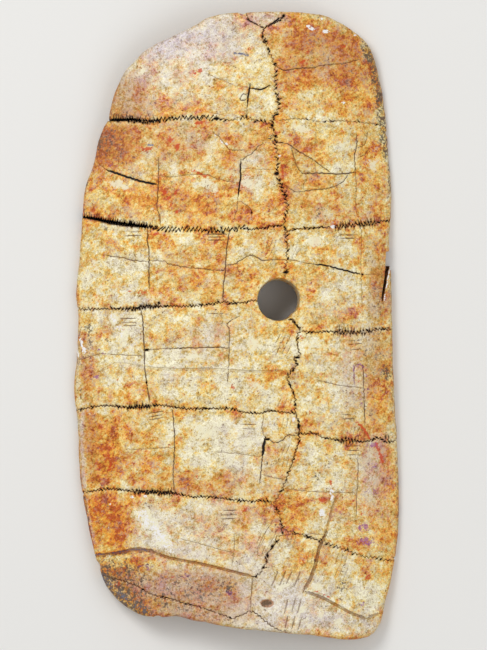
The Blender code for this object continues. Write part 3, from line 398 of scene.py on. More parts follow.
# Soft patches of colour: middle, half width, half height, strength
patches = {
    "warm": [
        (116, 536, 12, 10, 0.5), (107, 464, 14, 12, 0.8), (110, 440, 22, 26, 0.4), (220, 95, 11, 11, 0.7),
        (351, 81, 17, 16, 0.65), (370, 104, 9, 14, 0.7), (310, 44, 22, 14, 0.4), (336, 48, 20, 12, 0.35),
        (312, 413, 14, 10, 0.7), (378, 414, 15, 18, 0.7), (260, 142, 9, 8, 0.5), (104, 130, 10, 14, 0.3),
        (112, 154, 20, 10, 0.5), (148, 152, 13, 11, 0.45), (92, 196, 10, 22, 0.6), (124, 200, 18, 8, 0.3),
        (185, 110, 16, 6, 0.7), (130, 112, 20, 6, 0.4), (178, 200, 16, 14, 0.5), (204, 214, 14, 12, 0.7),
        (172, 142, 10, 8, 0.5), (284, 196, 8, 24, 0.6), (268, 205, 10, 12, 0.4), (290, 150, 10, 12, 0.4),
        (356, 126, 10, 8, 0.3), (318, 140, 12, 10, 0.3), (306, 200, 14, 12, 0.4), (320, 188, 14, 10, 0.5),
        (374, 205, 10, 14, 0.4), (96, 240, 14, 10, 0.5), (190, 250, 30, 10, 0.35),
        (196, 286, 24, 11, 0.8), (176, 270, 20, 5, 0.6), (242, 284, 12, 18, 0.5), (256, 266, 10, 8, 0.4),
        (300, 286, 10, 14, 0.5), (306, 314, 10, 8, 0.8), (340, 316, 20, 8, 0.4), (376, 270, 10, 34, 0.5),
        (322, 276, 14, 10, 0.3), (86, 330, 6, 14, 0.5), (107, 326, 2, 14, 0.5), (178, 328, 4, 5, 0.5),
        (160, 316, 14, 5, 0.4), (90, 372, 10, 14, 0.6), (112, 394, 14, 8, 0.45), (226, 396, 10, 5, 0.4),
        (240, 376, 40, 5, 0.5), (280, 330, 6, 5, 0.4), (300, 372, 8, 7, 0.7), (335, 418, 14, 6, 0.3),
        (380, 350, 8, 12, 0.4), (140, 430, 22, 14, 0.3), (160, 472, 12, 16, 0.4), (186, 478, 16, 8, 0.5),
        (228, 484, 20, 6, 0.4), (330, 448, 8, 4, 0.6), (350, 450, 12, 6, 0.3), (388, 470, 8, 26, 0.5),
        (296, 514, 12, 9, 0.9), (238, 525, 7, 9, 0.6), (201, 519, 4, 4, 0.9), (246, 512, 14, 8, 0.4),
        (350, 506, 12, 10, 0.6), (378, 514, 12, 14, 0.5), (384, 538, 9, 12, 0.7), (358, 541, 8, 5, 0.7),
        (368, 580, 10, 10, 0.2), (388, 578, 6, 20, 0.5), (104, 566, 12, 9, 1.2), (134, 561, 16, 7, 0.9),
        (124, 572, 14, 8, 0.7), (188, 590, 20, 6, 0.4), (150, 604, 20, 6, 0.4), (330, 600, 18, 6, 0.3),
        (372, 620, 7, 5, 0.9), (280, 548, 10, 8, 0.3), (300, 552, 8, 10, 0.3), (328, 470, 10, 10, 0.3),
        (346, 342, 10, 8, 0.2), (264, 34, 3, 3, 0.8), (246, 62, 12, 12, 0.3), (276, 470, 8, 14, 0.3),
        (206, 252, 16, 8, 0.3),
    ],
    "pale": [
        (118, 184, 7, 5, 0.9), (215, 184, 11, 8, 0.9), (210, 196, 10, 4, 0.5), (254, 182, 13, 9, 0.8),
        (142, 73, 5, 5, 0.6), (186, 92, 7, 6, 0.5), (210, 78, 9, 6, 0.6), (258, 76, 7, 10, 0.6),
        (260, 102, 9, 9, 0.8), (243, 97, 5, 4, 0.9), (302, 129, 15, 8, 0.9), (345, 150, 12, 9, 0.8),
        (340, 182, 8, 6, 0.9), (372, 164, 7, 12, 0.6), (152, 212, 6, 7, 0.6), (246, 128, 12, 4, 0.4),
        (230, 160, 8, 10, 0.3), (270, 186, 4, 4, 0.4), (352, 194, 12, 12, 0.3), (336, 204, 12, 8, 0.4),
        (312, 243, 16, 10, 0.8), (345, 248, 12, 14, 0.6), (138, 262, 10, 22, 0.7), (92, 270, 12, 16, 0.6),
        (112, 282, 14, 12, 0.4), (160, 284, 8, 5, 0.4), (250, 244, 16, 10, 0.4), (352, 292, 10, 10, 0.6),
        (332, 270, 6, 3, 0.8), (98, 322, 5, 11, 0.8), (121, 332, 9, 17, 1.0), (86, 318, 4, 6, 0.5),
        (198, 356, 24, 6, 0.8), (190, 330, 26, 12, 0.35), (258, 344, 24, 18, 0.8),
        (248, 388, 26, 10, 0.7), (214, 384, 12, 12, 0.7), (200, 395, 16, 7, 0.9), (170, 340, 16, 10, 0.4),
        (360, 150, 10, 12, 0.4), (318, 350, 14, 16, 0.7), (340, 404, 16, 14, 0.5),
        (168, 390, 12, 10, 0.3), (208, 436, 28, 22, 0.9), (248, 446, 12, 26, 0.7),
        (278, 460, 10, 16, 0.6), (186, 424, 12, 12, 0.7), (316, 460, 20, 12, 0.5),
        (340, 476, 12, 12, 0.4), (306, 494, 14, 5, 0.4), (150, 526, 17, 24, 1.0), (164, 540, 14, 10, 0.9),
        (192, 530, 14, 22, 0.6), (218, 548, 16, 12, 0.5), (232, 566, 14, 6, 0.5), (258, 566, 5, 14, 0.6),
        (282, 586, 24, 13, 0.8), (262, 602, 12, 18, 0.7), (296, 612, 22, 14, 0.7),
        (334, 616, 24, 10, 0.6), (372, 602, 12, 12, 0.8), (384, 566, 8, 12, 0.6), (318, 580, 8, 14, 0.8),
        (130, 468, 10, 8, 0.3), (206, 462, 8, 7, 0.5), (310, 446, 10, 6, 0.4), (270, 430, 12, 8, 0.4),
        (268, 22, 16, 6, 0.6), (300, 326, 6, 3, 0.3), (282, 345, 8, 12, 0.4), (170, 160, 10, 12, 0.2),
    ],
    "cream": [
        (117, 183.6, 7.6, 5.0, 1.0), (124, 187, 5, 3, 0.8), (207, 184.6, 8, 6, 1.0),
        (214, 188, 6, 5, 0.8), (247, 181, 7, 8, 0.9), (259, 184, 5, 8, 0.8), (142, 73, 4, 4, 0.7),
        (205, 77, 6, 4, 0.6), (243, 97, 5, 4, 0.9), (263, 77, 3, 6, 0.7), (302, 129, 10, 6, 0.8),
        (294, 124, 6, 4, 0.6), (345, 148, 8, 6, 0.7), (340, 182, 6, 5, 0.8), (372, 163, 5, 9, 0.6),
        (312, 242, 11, 6, 0.7), (340, 245, 8, 6, 0.6), (138, 258, 6, 14, 0.6), (96, 268, 8, 10, 0.6),
        (332, 270.6, 5, 2, 0.8), (113, 320, 8, 9, 0.9), (124, 336, 6, 10, 0.9), (196, 356, 18, 4, 0.6),
        (256, 344, 16, 10, 0.6), (246, 386, 20, 7, 0.7), (222, 380, 10, 6, 0.5), (206, 436, 20, 14, 0.7),
        (188, 422, 10, 8, 0.6), (246, 440, 7, 16, 0.6), (312, 346, 10, 8, 0.5), (150, 524, 12, 16, 0.8),
        (163, 538, 10, 10, 0.8), (204, 540, 8, 6, 0.5), (282, 584, 14, 6, 0.6), (262, 596, 7, 6, 0.7),
        (300, 608, 12, 8, 0.6), (312, 620, 18, 8, 0.56), (318, 584, 6, 9, 0.8), (372, 602, 8, 8, 0.6),
        (336, 620, 14, 5, 0.6), (290, 622, 10, 5, 0.6), (324, 512, 4, 6, 0.7), (316, 458, 10, 8, 0.4),
        (100, 413, 10, 3, 0.5), (152, 211, 4, 5, 0.6), (270, 186, 3, 3, 0.5),
    ],
    "lilac": [
        # those near the upper left rim: the bone's lilac tone and a painted sheen where the rim faces the
        # light
        (200, 34, 26, 9, 0.8), (166, 52, 20, 9, 0.7), (196, 56, 24, 12, 0.5), (142, 74, 8, 8, 0.6),
        (168, 74, 18, 12, 0.3), (150, 104, 20, 6, 0.3), (131, 169, 4, 2, 0.9), (142, 173, 9, 2, 0.9),
        (204, 146, 7, 8, 0.9), (257, 158, 9, 6, 0.7), (250, 184, 13, 6, 0.9), (186, 136, 14, 8, 0.4),
        (266, 18, 16, 5, 1.2), (330, 52, 14, 8, 0.3), (322, 76, 8, 8, 0.5), (368, 214, 5, 8, 0.6),
        (320, 212, 8, 8, 0.4), (209, 281, 4, 5, 0.9), (118, 290, 14, 6, 0.3), (146, 300, 6, 4, 0.9),
        (170, 377, 12, 6, 0.8), (130, 386, 14, 8, 0.4), (330, 515, 16, 8, 0.4), (130, 366, 22, 4, 0.6),
        (96, 316, 5, 5, 0.6), (214, 336, 14, 10, 0.4), (130, 346, 8, 5, 0.4), (346, 372, 14, 22, 0.5),
        (350, 352, 14, 10, 0.5), (328, 386, 14, 8, 0.3), (228, 430, 16, 10, 0.3), (244, 470, 8, 14, 0.4),
        (372, 470, 10, 22, 0.5), (378, 442, 8, 8, 0.5), (218, 503, 7, 3, 0.9), (156, 530, 14, 18, 0.5),
        (188, 552, 16, 8, 0.5), (178, 566, 14, 4, 0.9), (206, 574, 20, 6, 0.5), (166, 586, 22, 10, 0.6),
        (210, 598, 18, 6, 0.6), (242, 588, 6, 8, 0.8), (240, 606, 8, 8, 0.6), (290, 600, 26, 14, 0.6),
        (320, 618, 30, 8, 0.7), (264, 620, 12, 5, 0.5), (256, 546, 8, 14, 0.4), (370, 628, 12, 6, 0.5),
        (286, 532, 6, 6, 0.3), (118, 500, 3, 3, 0.6), (152, 260, 5, 8, 0.3), (84, 402, 2, 8, 0.6),
    ],
    "rust": [
        (199.5, 71, 3.6, 2.2, 1.2), (194.5, 73.6, 2.8, 2, 1.1), (202, 123, 6, 2.4, 1.2),
        (170, 140, 3, 4, 1.1), (177.4, 147.6, 2.4, 3.2, 1.2), (194, 171.6, 5, 1.5, 1.2),
        (205, 176, 6, 1.7, 1.2), (146, 149, 5, 3, 1.1), (164.5, 193, 2.8, 3, 1.2),
        (169, 199, 2.4, 3, 1.1), (176, 193, 1.8, 3, 1.2), (177, 213, 1.8, 2.4, 1.1),
        (171, 205, 2, 2.4, 0.8), (302, 62, 4, 2.6, 0.9), (296, 72, 2.4, 1.8, 0.8),
        (304, 75, 1.6, 1.4, 0.8), (343, 47, 4, 3, 0.7), (309, 53, 4, 2.6, 0.6), (156, 234, 2.6, 1.4, 0.9),
        (144.6, 291.5, 7, 2.6, 0.8), (130, 291, 3, 1.6, 0.7), (110, 520, 2.4, 4, 0.6),
        (116, 528, 2, 3, 0.5), (98, 466, 3, 5, 0.6), (110, 466, 3, 6, 0.7), (108, 456, 2, 3, 0.7),
        (282, 172, 2, 7, 0.7), (321.7, 499.6, 5, 2, 0.9), (331, 482, 2, 3, 0.7), (345, 498, 5, 2.4, 0.7),
        (362, 508, 4, 6, 0.6), (300.6, 337, 2, 2, 0.9), (310, 411, 2, 4, 0.8), (118, 380, 2, 2, 0.6),
        (232, 387, 1.4, 1.4, 0.9), (176, 578, 4, 2, 0.6), (184, 576, 3, 2, 0.6), (118, 585, 5, 4, 0.8),
        (228, 594, 3, 2, 0.8), (246, 509, 3, 5, 0.5), (197, 476, 1.2, 3, 0.9), (207, 505, 2, 2.4, 0.7),
        (316, 520, 4, 2, 0.5), (366, 578, 6, 3, 0.6), (324, 594, 1.6, 1.2, 0.9), (164, 600, 8, 2, 0.5),
        (236, 178, 14, 2, 0.5), (304, 240, 2, 3, 0.6), (99, 155, 5, 5, 0.4),
    ],
    "plum": [
        (96.5, 377, 3, 2.4, 1.1), (99, 350, 4, 1.4, 0.8), (104, 354, 2.4, 2, 0.7), (364, 527, 6, 4, 1.35),
        (366, 541, 8, 3.6, 1.15), (371, 445, 8, 5, 0.62), (374, 466, 7, 6, 0.5), (372, 492, 8, 7, 0.5),
        (228, 593, 4, 3, 0.9), (149, 569, 4, 1.6, 0.9), (363, 604, 5, 2, 0.9), (360, 396, 5, 6, 0.5),
        (362, 404, 3, 4, 0.4), (378, 544, 4, 3, 0.5), (112, 166, 3, 2, 0.5), (150, 566, 5, 2, 0.8),
        (229, 592, 5, 4, 0.7), (186, 575, 7, 3, 0.5), (304, 516, 6, 2, 0.4), (166, 578, 6, 3, 0.4),
        (366, 560, 6, 4, 0.4), (140, 566, 4, 1.4, 0.6),
    ],
    "grey": [
        # the first four: the dark band along the upper right edge, partly staining and partly painted
        # shade where the crown rolls away from the light
        (376, 60, 6, 16, 0.8), (382, 90, 5, 24, 0.9), (384, 118, 4, 14, 0.9), (386, 150, 4, 12, 0.9),
        (387.4, 372, 4, 6, 1.2), (106, 579, 7, 5, 0.6), (117, 592, 8, 7, 0.6), (134, 605, 11, 5, 0.6),
        (106, 228.5, 2, 1.6, 1.3), (272, 138.6, 4.4, 3, 1.8), (318, 213, 3, 4, 0.9),
        (318, 476, 9, 7, 0.5), (342, 584, 9, 16, 0.5), (231, 588, 5, 4, 0.6), (245, 160, 4, 4, 0.4),
        (214, 300, 8, 2, 0.5), (206, 330, 12, 5, 0.35), (262, 352, 12, 6, 0.3), (108, 340, 3, 3, 0.6),
        (90, 322, 5, 10, 0.4), (98, 136, 3, 12, 0.5), (310, 52, 5, 3, 0.5), (146, 504, 4, 3, 0.4),
        (162, 504, 5, 3, 0.4), (279, 524, 8, 5, 0.4), (368, 602, 8, 8, 0.4), (330, 370, 14, 8, 0.3),
        (252, 418, 6, 4, 0.3), (352, 518, 10, 5, 0.4), (140, 610, 6, 3, 0.7), (380, 300, 6, 30, 0.35),
        (360, 168, 4, 20, 0.3),
    ],
    "white": [
        (308.4, 26.6, 1.8, 1.4, 1.1), (311.6, 29.2, 3.0, 1.5, 1.1), (326, 31.7, 3.6, 2.0, 1.1),
        (321.6, 19, 1.6, 1.2, 1.0), (343.4, 103, 2.0, 1.5, 1.0), (87, 244, 1.8, 1.8, 1.0),
        (331.4, 491.4, 1.9, 2.6, 1.5), (331.8, 498, 1.5, 2.6, 1.4), (322, 512.6, 2.8, 3.2, 1.5),
        (332.8, 227, 2.2, 1.6, 1.1), (293.4, 419.4, 1.6, 2.6, 0.9), (108, 556.4, 2.2, 1.8, 1.0),
        (395.3, 558.5, 1.4, 1.8, 1.1), (279.6, 156.4, 1.6, 1.2, 1.0), (355, 35, 2.2, 1.0, 0.8),
        (306, 125, 4, 2, 0.4), (240.6, 95.6, 3, 1.6, 0.9), (132, 496.6, 2.2, 1.4, 0.9),
        (145, 496, 2, 1.4, 0.8), (331, 271, 2.6, 1.6, 0.6), (128, 340, 3, 2, 0.4), (148, 524, 6, 4, 0.6),
        (160, 538, 7, 5, 0.6), (290, 596, 8, 4, 0.4), (110, 504, 1.2, 1.0, 0.6),
    ],
}

# Soft bands of colour along a line: points, half width, strength
washes = {
    "warm": [
        ([(168, 412), (200, 412.6), (245, 413.6)], 2.4, 0.7),
        ([(205, 373.6), (240, 374.8), (286, 376.5)], 4.0, 0.55),
        ([(86, 381.5), (120, 367.5), (145, 370), (200, 373)], 3.2, 0.5),
        ([(84, 205), (78, 290)], 2.5, 0.5), ([(98, 120), (90, 176), (84, 205)], 2.0, 0.35),
        ([(140, 611), (160, 615), (250, 631), (345, 639)], 3.0, 1.3),
        ([(398, 490), (396, 556), (386, 602)], 3.0, 0.8),
        ([(92, 555), (123, 552), (148, 550.5), (170, 557.5), (200, 563), (252, 576)], 2.6, 1.5),
        ([(290, 228), (330, 229)], 2.4, 0.6), ([(268, 404), (290, 411)], 3.0, 0.4),
        ([(300, 430), (336, 434)], 3.0, 0.5), ([(330, 335), (392, 333)], 2.0, 0.4),
        ([(110, 115), (200, 113)], 5.0, 0.35), ([(361, 240), (361, 304)], 3.0, 0.4),
        ([(362, 122), (358, 172)], 2.5, 0.5), ([(160, 540), (232, 556)], 4.0, 0.3),
        ([(257, 283), (258, 318)], 5.0, 0.3), ([(298, 284), (303, 318)], 4.0, 0.4),
        ([(310, 128), (345, 134)], 6.0, 0.25),
        ([(75.4, 360), (74.8, 400), (78.4, 450), (82, 488), (87.5, 522), (93, 550)], 1.3, 1.6),
        ([(338, 494), (326, 530), (319, 549), (312, 576), (303, 592), (320, 597), (350, 613), (368, 619),
         (384, 612)], 2.0, 1.0),
        ([(205, 622), (250, 631), (300, 636), (345, 639), (368, 636.6)], 1.6, 1.2),
        ([(128, 492), (129, 548)], 2.0, 0.5),
    ],
    "grey": [
        # the first two: the same dark band along the upper right edge, partly staining and partly painted
        # shade where the crown rolls away
        ([(365, 46), (373, 66), (378.5, 92), (382.4, 120), (385, 150)], 5.0, 0.95),
        ([(387, 128), (389, 155), (391, 190)], 2.2, 0.7), ([(82.4, 495), (91, 540)], 1.3, 0.8),
        ([(82, 385), (80.6, 402)], 1.2, 0.7), ([(396.5, 470), (398, 530)], 1.6, 0.5),
        ([(391, 240), (394, 370), (397, 440)], 1.6, 0.55), ([(96, 556), (145, 551)], 1.6, 0.5),
        ([(326, 530), (320, 546), (314, 562)], 1.6, 0.5),
        ([(99.6, 126), (96.4, 140), (93, 154), (89.6, 168), (86, 184)], 2.2, 1.0),
        ([(84.5, 496), (88, 518), (92.4, 542)], 1.1, 0.9),
        ([(101, 576), (112, 592), (127, 604), (148, 611)], 5.4, 1.0),
        ([(158, 604), (232, 621)], 5.0, 0.35), ([(320, 604), (362, 622)], 5.0, 0.3),
        ([(226, 24), (262, 60)], 8.0, 0.2),
    ],
    "pale": [
        ([(120, 359.6), (143, 362.8), (169, 365.6), (240, 366.6)], 2.6, 0.6),
        ([(84.5, 412), (83.5, 450), (86, 487)], 2.2, 0.6), ([(147, 50), (190, 29), (226, 15)], 3.0, 0.6),
        ([(96, 560), (146, 555)], 1.6, 0.5), ([(250, 14), (284, 14)], 3.0, 0.7),
        ([(132, 498), (150, 499), (172, 499)], 2.5, 0.9),
        ([(150, 365.6), (172, 367.6), (200, 367.2), (228, 368.2)], 1.2, 1.6),
        ([(84, 223), (108, 226), (130, 229)], 2.0, 0.4),
    ],
    "lilac": [
        ([(82.6, 412), (81.8, 446), (84.4, 487)], 2.0, 1.3),
        # the second band on the next line: lilac along the upper left rim, the bone's tone and a painted
        # sheen where the rim faces the light
        ([(86.4, 500), (90, 520), (94, 542)], 1.2, 1.0), ([(150, 56), (180, 38), (226, 20)], 8.0, 0.7),
        ([(160, 559), (220, 571)], 3.0, 0.6), ([(363, 372), (364, 398)], 2.4, 0.6),
    ],
    "plum": [
        ([(354, 383), (354, 368), (358, 364.4), (363, 366.5)], 1.1, 0.9),
        ([(366, 374), (368, 396)], 1.6, 0.5),
    ],
    "rust": [
        ([(357, 422), (364, 429), (369, 438)], 1.4, 1.2),
        ([(375.6, 443), (379, 451), (382.6, 462)], 1.7, 1.2),
        ([(191, 171), (198, 173.4), (207, 176.4)], 1.6, 1.1), ([(196, 123.6), (208, 123)], 1.4, 1.1),
        ([(313, 590.6), (323, 594), (330, 598)], 1.0, 0.7), ([(330, 480), (333, 489)], 1.2, 0.9),
    ],
    "slate": [
        ([(234.3, 53.5), (248, 55.4)], 0.9, 1.0),
        ([(103, 577), (116, 592), (132, 604), (146, 609)], 6.0, 0.3),
        ([(93, 555.4), (112, 553), (134, 549.4), (150, 550.4)], 0.9, 0.75),
        ([(143.8, 144.8), (156, 146)], 0.8, 0.7), ([(104.5, 495), (108, 507)], 1.0, 0.6),
    ],
    "white": [
        ([(142, 514), (150, 525), (160, 536), (171, 549)], 7.0, 0.66),
        ([(154, 526), (164, 540)], 3.5, 0.95), ([(112, 316), (118, 326), (123, 336)], 5.0, 0.46),
        # this band and the first one two lines down: painted highlight on the lit edge of the chipped step
        # near (220, 140)
        ([(214, 135), (221, 142), (227, 145)], 0.9, 1.0),
        ([(390.2, 267), (387.4, 282), (384.2, 300)], 0.8, 0.9), ([(388.6, 131), (388.2, 147)], 0.7, 0.9),
        ([(218, 139.4), (223.6, 144.6)], 0.8, 0.7), ([(79.8, 338.5), (82.4, 345), (84, 349)], 1.0, 1.1),
        ([(82.8, 347), (85.4, 350.6), (83, 352)], 1.5, 1.1), ([(77.8, 350), (78.6, 357)], 0.9, 0.9),
    ],
}

# Hollows on the inner face, one behind each burnt stem: its ends and the side of its round pit
hollowStems = [
    ((250, 86), (247, 114), -1), ((158.5, 158), (160, 222), -1), ((241, 162), (235, 217), 1),
    ((356.5, 136), (356, 208), -1), ((148, 233), (149.5, 288), -1), ((229, 235), (223, 300), 1),
    ((361.5, 234), (361.5, 300), -1), ((142, 312), (149, 400), -1), ((229, 329), (228, 382), -1),
    ((363.5, 366), (364.8, 422), -1), ((173.5, 411), (173.5, 490), -1), ((264, 418), (260, 482), -1),
    ((357.5, 458), (356.5, 514), -1), ((234.2, 535), (232, 564), -1),
]
hollow = {
    "web": 0.0026,           # bone left above a slot's floor
    "slotLength": 0.0160,
    "slotWidth": 0.0066,
    "pitDiameter": 0.0080,
    "pitOffset": 0.0056,     # from a slot's middle to its pit's
    "pitShare": 0.85,        # a pit's depth as a share of a slot's
    "slotPoints": 28,
    "pitPoints": 26,
    "slotRings": (1.0, 0.6),
    "pitRings": (1.0, 0.85, 0.6),
}

picLeft, picTop, picRight, picBottom = plate["pictureBox"]
pixel = (plateHigh[0] - plateLow[0]) / (picRight - picLeft)  # metres across one picture point
random = np.random.default_rng(plate["seed"])


# Plan geometry

curveStep = 0.05      # of the way from one point of a smooth curve to the next
sliceLength = 20000   # points tested against a loop at a time


def place(points):
    across, down = np.asarray(points, float).reshape(-1, 2).T
    x = plateLow[0] + (across - picLeft) / (picRight - picLeft) * (plateHigh[0] - plateLow[0])
    y = plateHigh[1] - (down - picTop) / (picBottom - picTop) * (plateHigh[1] - plateLow[1])
    return np.column_stack([x, y])


def smoothCurve(points, step, closed=False):
    # Catmull-Rom through the points, cut into even steps
    if closed:
        ring = np.vstack([points[-1:], points, points[:2]])
    else:
        ring = np.vstack([2 * points[0] - points[1], points, 2 * points[-1] - points[-2]])
    t = np.arange(0, 1, curveStep)[:, None]
    parts = []
    for p0, p1, p2, p3 in zip(ring, ring[1:], ring[2:], ring[3:]):
        parts.append(0.5 * (2 * p1 + (p2 - p0) * t + (2 * p0 - 5 * p1 + 4 * p2 - p3) * t**2
                            + (3 * p1 - p0 - 3 * p2 + p3) * t**3))
    parts.append(parts[0][:1] if closed else points[-1:])
    fine = np.vstack(parts)
    run = np.concatenate([[0], np.cumsum(np.linalg.norm(np.diff(fine, axis=0), axis=1))])
    count = max(2, int(round(run[-1] / step)))
    stations = np.linspace(0, run[-1], count + 1)
    even = np.column_stack([np.interp(stations, run, fine[:, axis]) for axis in (0, 1)])
    return even[:-1] if closed else even


def sideOf(path, closed=False):
    along = np.roll(path, -1, axis=0) - np.roll(path, 1, axis=0) if closed else np.gradient(path, axis=0)
    along = along / np.maximum(np.linalg.norm(along, axis=1), 1e-12)[:, None]
    return np.column_stack([-along[:, 1], along[:, 0]])


def inside(points, loop):
    # Even-odd test against a closed loop, a slice of points at a time
    x1, y1 = loop[:, 0], loop[:, 1]
    x2, y2 = np.roll(x1, -1), np.roll(y1, -1)
    level = np.where(y2 == y1, 1e-12, y2 - y1)
    found = []
    for part in np.array_split(points, max(1, len(points) // sliceLength)):
        x, y = part[:, 0][:, None], part[:, 1][:, None]
        crosses = ((y1 > y) != (y2 > y)) & (x < (x2 - x1) * (y - y1) / level + x1)
        found.append(crosses.sum(axis=1) % 2 == 1)
    return np.concatenate(found)


def treeOf(points):
    tree = KDTree(len(points))
    for index, (x, y) in enumerate(points):
        tree.insert((x, y, 0), index)
    tree.balance()
    return tree


def nearest(tree, points):
    # Index of the nearest point in the tree, and how far off it is
    found = [tree.find((x, y, 0)) for x, y in points]
    return np.array([f[1] for f in found]), np.array([f[2] for f in found])


def hexGrid(step, wobble):
    rows = np.arange(plateLow[1], plateHigh[1], step * math.sqrt(3) / 2)
    columns = np.arange(plateLow[0], plateHigh[0], step)
    grid = np.array([(x + step / 2 * (row % 2), y) for row, y in enumerate(rows) for x in columns])
    return grid + random.uniform(-wobble, wobble, grid.shape) * step


# Uneven wear of the rim between the nicks: two beats from point to point, and how near the box it stops
rimWear = {"dents": 0.00009, "beats": (0.37, 0.113), "grain": 0.00006, "boxMargin": 0.0004}


def plateRim():
    rim = smoothCurve(place(outline), plate["rimStep"], closed=True)
    low, high = rim.min(axis=0), rim.max(axis=0)
    rim = plateLow[:2] + (rim - low) / (high - low) * (plateHigh - plateLow)[:2]
    inward = -sideOf(rim, closed=True)
    turn = np.arange(len(rim))
    slow, slower = rimWear["beats"]
    bite = rimWear["dents"] * (1 + np.sin(turn * slow) * np.sin(turn * slower + 1))
    bite += random.uniform(0, rimWear["grain"], len(rim))
    for middle, spread, depth in rimNicks:
        away = np.linalg.norm(rim - place([middle]), axis=1) / (spread * pixel)
        bite += depth * pixel * np.clip(1 - away**2, 0, 1)
    box = np.minimum(rim - plateLow[:2], plateHigh[:2] - rim).min(axis=1)
    bite *= np.clip(box / rimWear["boxMargin"], 0, 1)  # the outermost points stay on the box
    return rim + inward * bite[:, None]


# How grooves are cut. Depths are metres; steps, strays and widths are picture points; pairs are least and
# most. Widths and depths named share are parts of the full ones.
grooves = {
    "sutureDepth": 0.0010,
    "sulcusDepth": 0.00035,
    "crackDepth": 0.0005,
    "strokeDepth": 0.00022,
    "endShare": 0.35,        # how wide a groove is at its very ends
    "floorFrom": 1.0,        # half width from which a floor has two lines more
    "floorShare": 0.55,      # how far out these lie
    "floorDepthShare": 0.9,
    "merge": 0.00002,        # points nearer than this become one
}
teeth = {
    "swing": (0.2, 1.3),     # of a style's reach
    "slip": 0.3,             # along the line, of half a pitch
    "combOften": 0.7,        # how many teeth carry a comb's stroke
    "combLean": 0.22,
    "combLength": (0.35, 1.1),
    "combHalf": 0.72,
    "combCutShare": 0.5,
    "combDirt": (0.8, 1.0),
    "gapLean": 0.4,
    "gapLength": (1.8, 3.4),
    "gapHalf": (0.95, 1.5),
    "gapBack": 0.3,          # share of its length by which a gap starts before its tooth
    "shortStep": 1.1,
}
gaping = {
    "plump": 1.25,           # half width over the smaller of the two measures
    "roundEnd": 0.6,         # how much of the half width the rounded ends take up
    "least": 0.25,           # shortest half length of the middle line
    "tilt": (0.2, 0.3),      # how far its ends stray when it lies across and when it lies along
    "step": 0.5,
    "depthShare": 1.2,
}
seams = {"step": 2.2, "stray": 0.15, "borderAway": 0.2, "borderHalf": 0.5, "borderDirt": (1.1, 1.6)}
burning = {"step": 1.8, "stray": 0.26, "fade": 0.75, "dirt": (0.85, 1.15), "widen": 1.1, "margin": 0.16}
marks = {"step": 2.2, "half": 1.0, "dirt": (0.72, 0.87)}
strokes = {
    "step": 1.8,
    "lean": 0.30,            # of the space that a stroke has
    "leanStray": 0.08,
    "aside": 0.1,
    "top": (0.06, 0.2),      # of a row's height
    "foot": (0.76, 0.92),
    "widen": 1.25,
    "darken": 1.15,
}


# Everything that the plan of a face is drawn from
class Plan:
    def __init__(self):
        self.spots, self.edges, self.cut, self.dirt = [], [], [], []
        self.cores = []  # middle of each groove: x, y, half width, cut, dirt

    def line(self, path, cut=0.0, dirt=0.0, closed=False):
        first, count = len(self.spots), len(path)
        self.spots += [tuple(p) for p in path]
        self.edges += [(first + i, first + i + 1) for i in range(count - 1)]
        if closed:
            self.edges.append((first + count - 1, first))
        self.cut += list(np.broadcast_to(cut, count))
        self.dirt += list(np.broadcast_to(dirt, count))

    def points(self, spots):
        self.spots += [tuple(p) for p in spots]
        self.cut += [0.0] * len(spots)
        self.dirt += [0.0] * len(spots)

    def groove(self, path, side, half, cut, dirt, taper=2):
        # A cut along a path: its floor line, its lips and, where it is wide, two lines more on the floor;
        # taper is how many points it takes to reach its full width
        count = len(path)
        ends = np.minimum(np.arange(count), np.arange(count)[::-1]) / max(1, min(taper, count // 2))
        width = (half * np.clip(grooves["endShare"] + (1 - grooves["endShare"]) * ends, 0, 1))[:, None]
        dirt = np.broadcast_to(dirt, count)
        self.line(path, cut, dirt)
        if half > grooves["floorFrom"] * pixel:
            for way in (1, -1):
                floor = path + way * side * width * grooves["floorShare"]
                self.line(floor, cut * grooves["floorDepthShare"], dirt)
        for way in (1, -1):
            self.line(path + way * side * width)
        self.cores += [(x, y, w, cut, d) for (x, y), w, d in zip(path, width[:, 0], dirt)]

    def triangles(self, mergeDistance):
        found = delaunay_2d_cdt([Vector(p) for p in self.spots], self.edges, [], 0, mergeDistance, True)
        spots = np.array([tuple(v) for v in found[0]])
        cut, dirt = np.zeros(len(spots)), np.zeros(len(spots))
        for index, sources in enumerate(found[3]):
            if sources:
                cut[index] = max(self.cut[s] for s in sources)
                dirt[index] = max(self.dirt[s] for s in sources)
        return spots, np.array([tuple(f) for f in found[2]]), cut, dirt


def toothed(points, style):
    # A zigzag along a smooth line, with uneven teeth
    step = style["pitch"] * pixel / 2
    path = smoothCurve(place(points), step)
    side = sideOf(path)
    along = np.column_stack([side[:, 1], -side[:, 0]])
    count = len(path)
    swing = np.where(np.arange(count) % 2 == 0, 1, -1) * random.uniform(*teeth["swing"], count)
    slip = random.uniform(-teeth["slip"], teeth["slip"], count)
    slip = (slip + style.get("slant", 0) * np.sign(swing)) * step
    swing[0] = swing[-1] = slip[0] = slip[-1] = 0
    path = path + side * (swing * style["reach"] * pixel / 2)[:, None] + along * slip[:, None]
    return path, side


def wandering(points, step, stray):
    path = smoothCurve(place(points), step)
    side = sideOf(path)
    shift = random.normal(0, stray, len(path))
    shift[0] = shift[-1] = 0
    return path + side * shift[:, None], side


def straight(start, end, step):
    first, last = place([start, end])
    count = max(3, int(np.linalg.norm(last - first) / step))
    path = first + (last - first) * np.linspace(0, 1, count)[:, None]
    return path, sideOf(path)


def shortCut(plan, start, along, length, half, cut, dirt):
    stations = np.linspace(0, length, max(3, int(length / (teeth["shortStep"] * pixel))))
    path = start + stations[:, None] * along
    plan.groove(path, sideOf(path), half, cut, dirt)


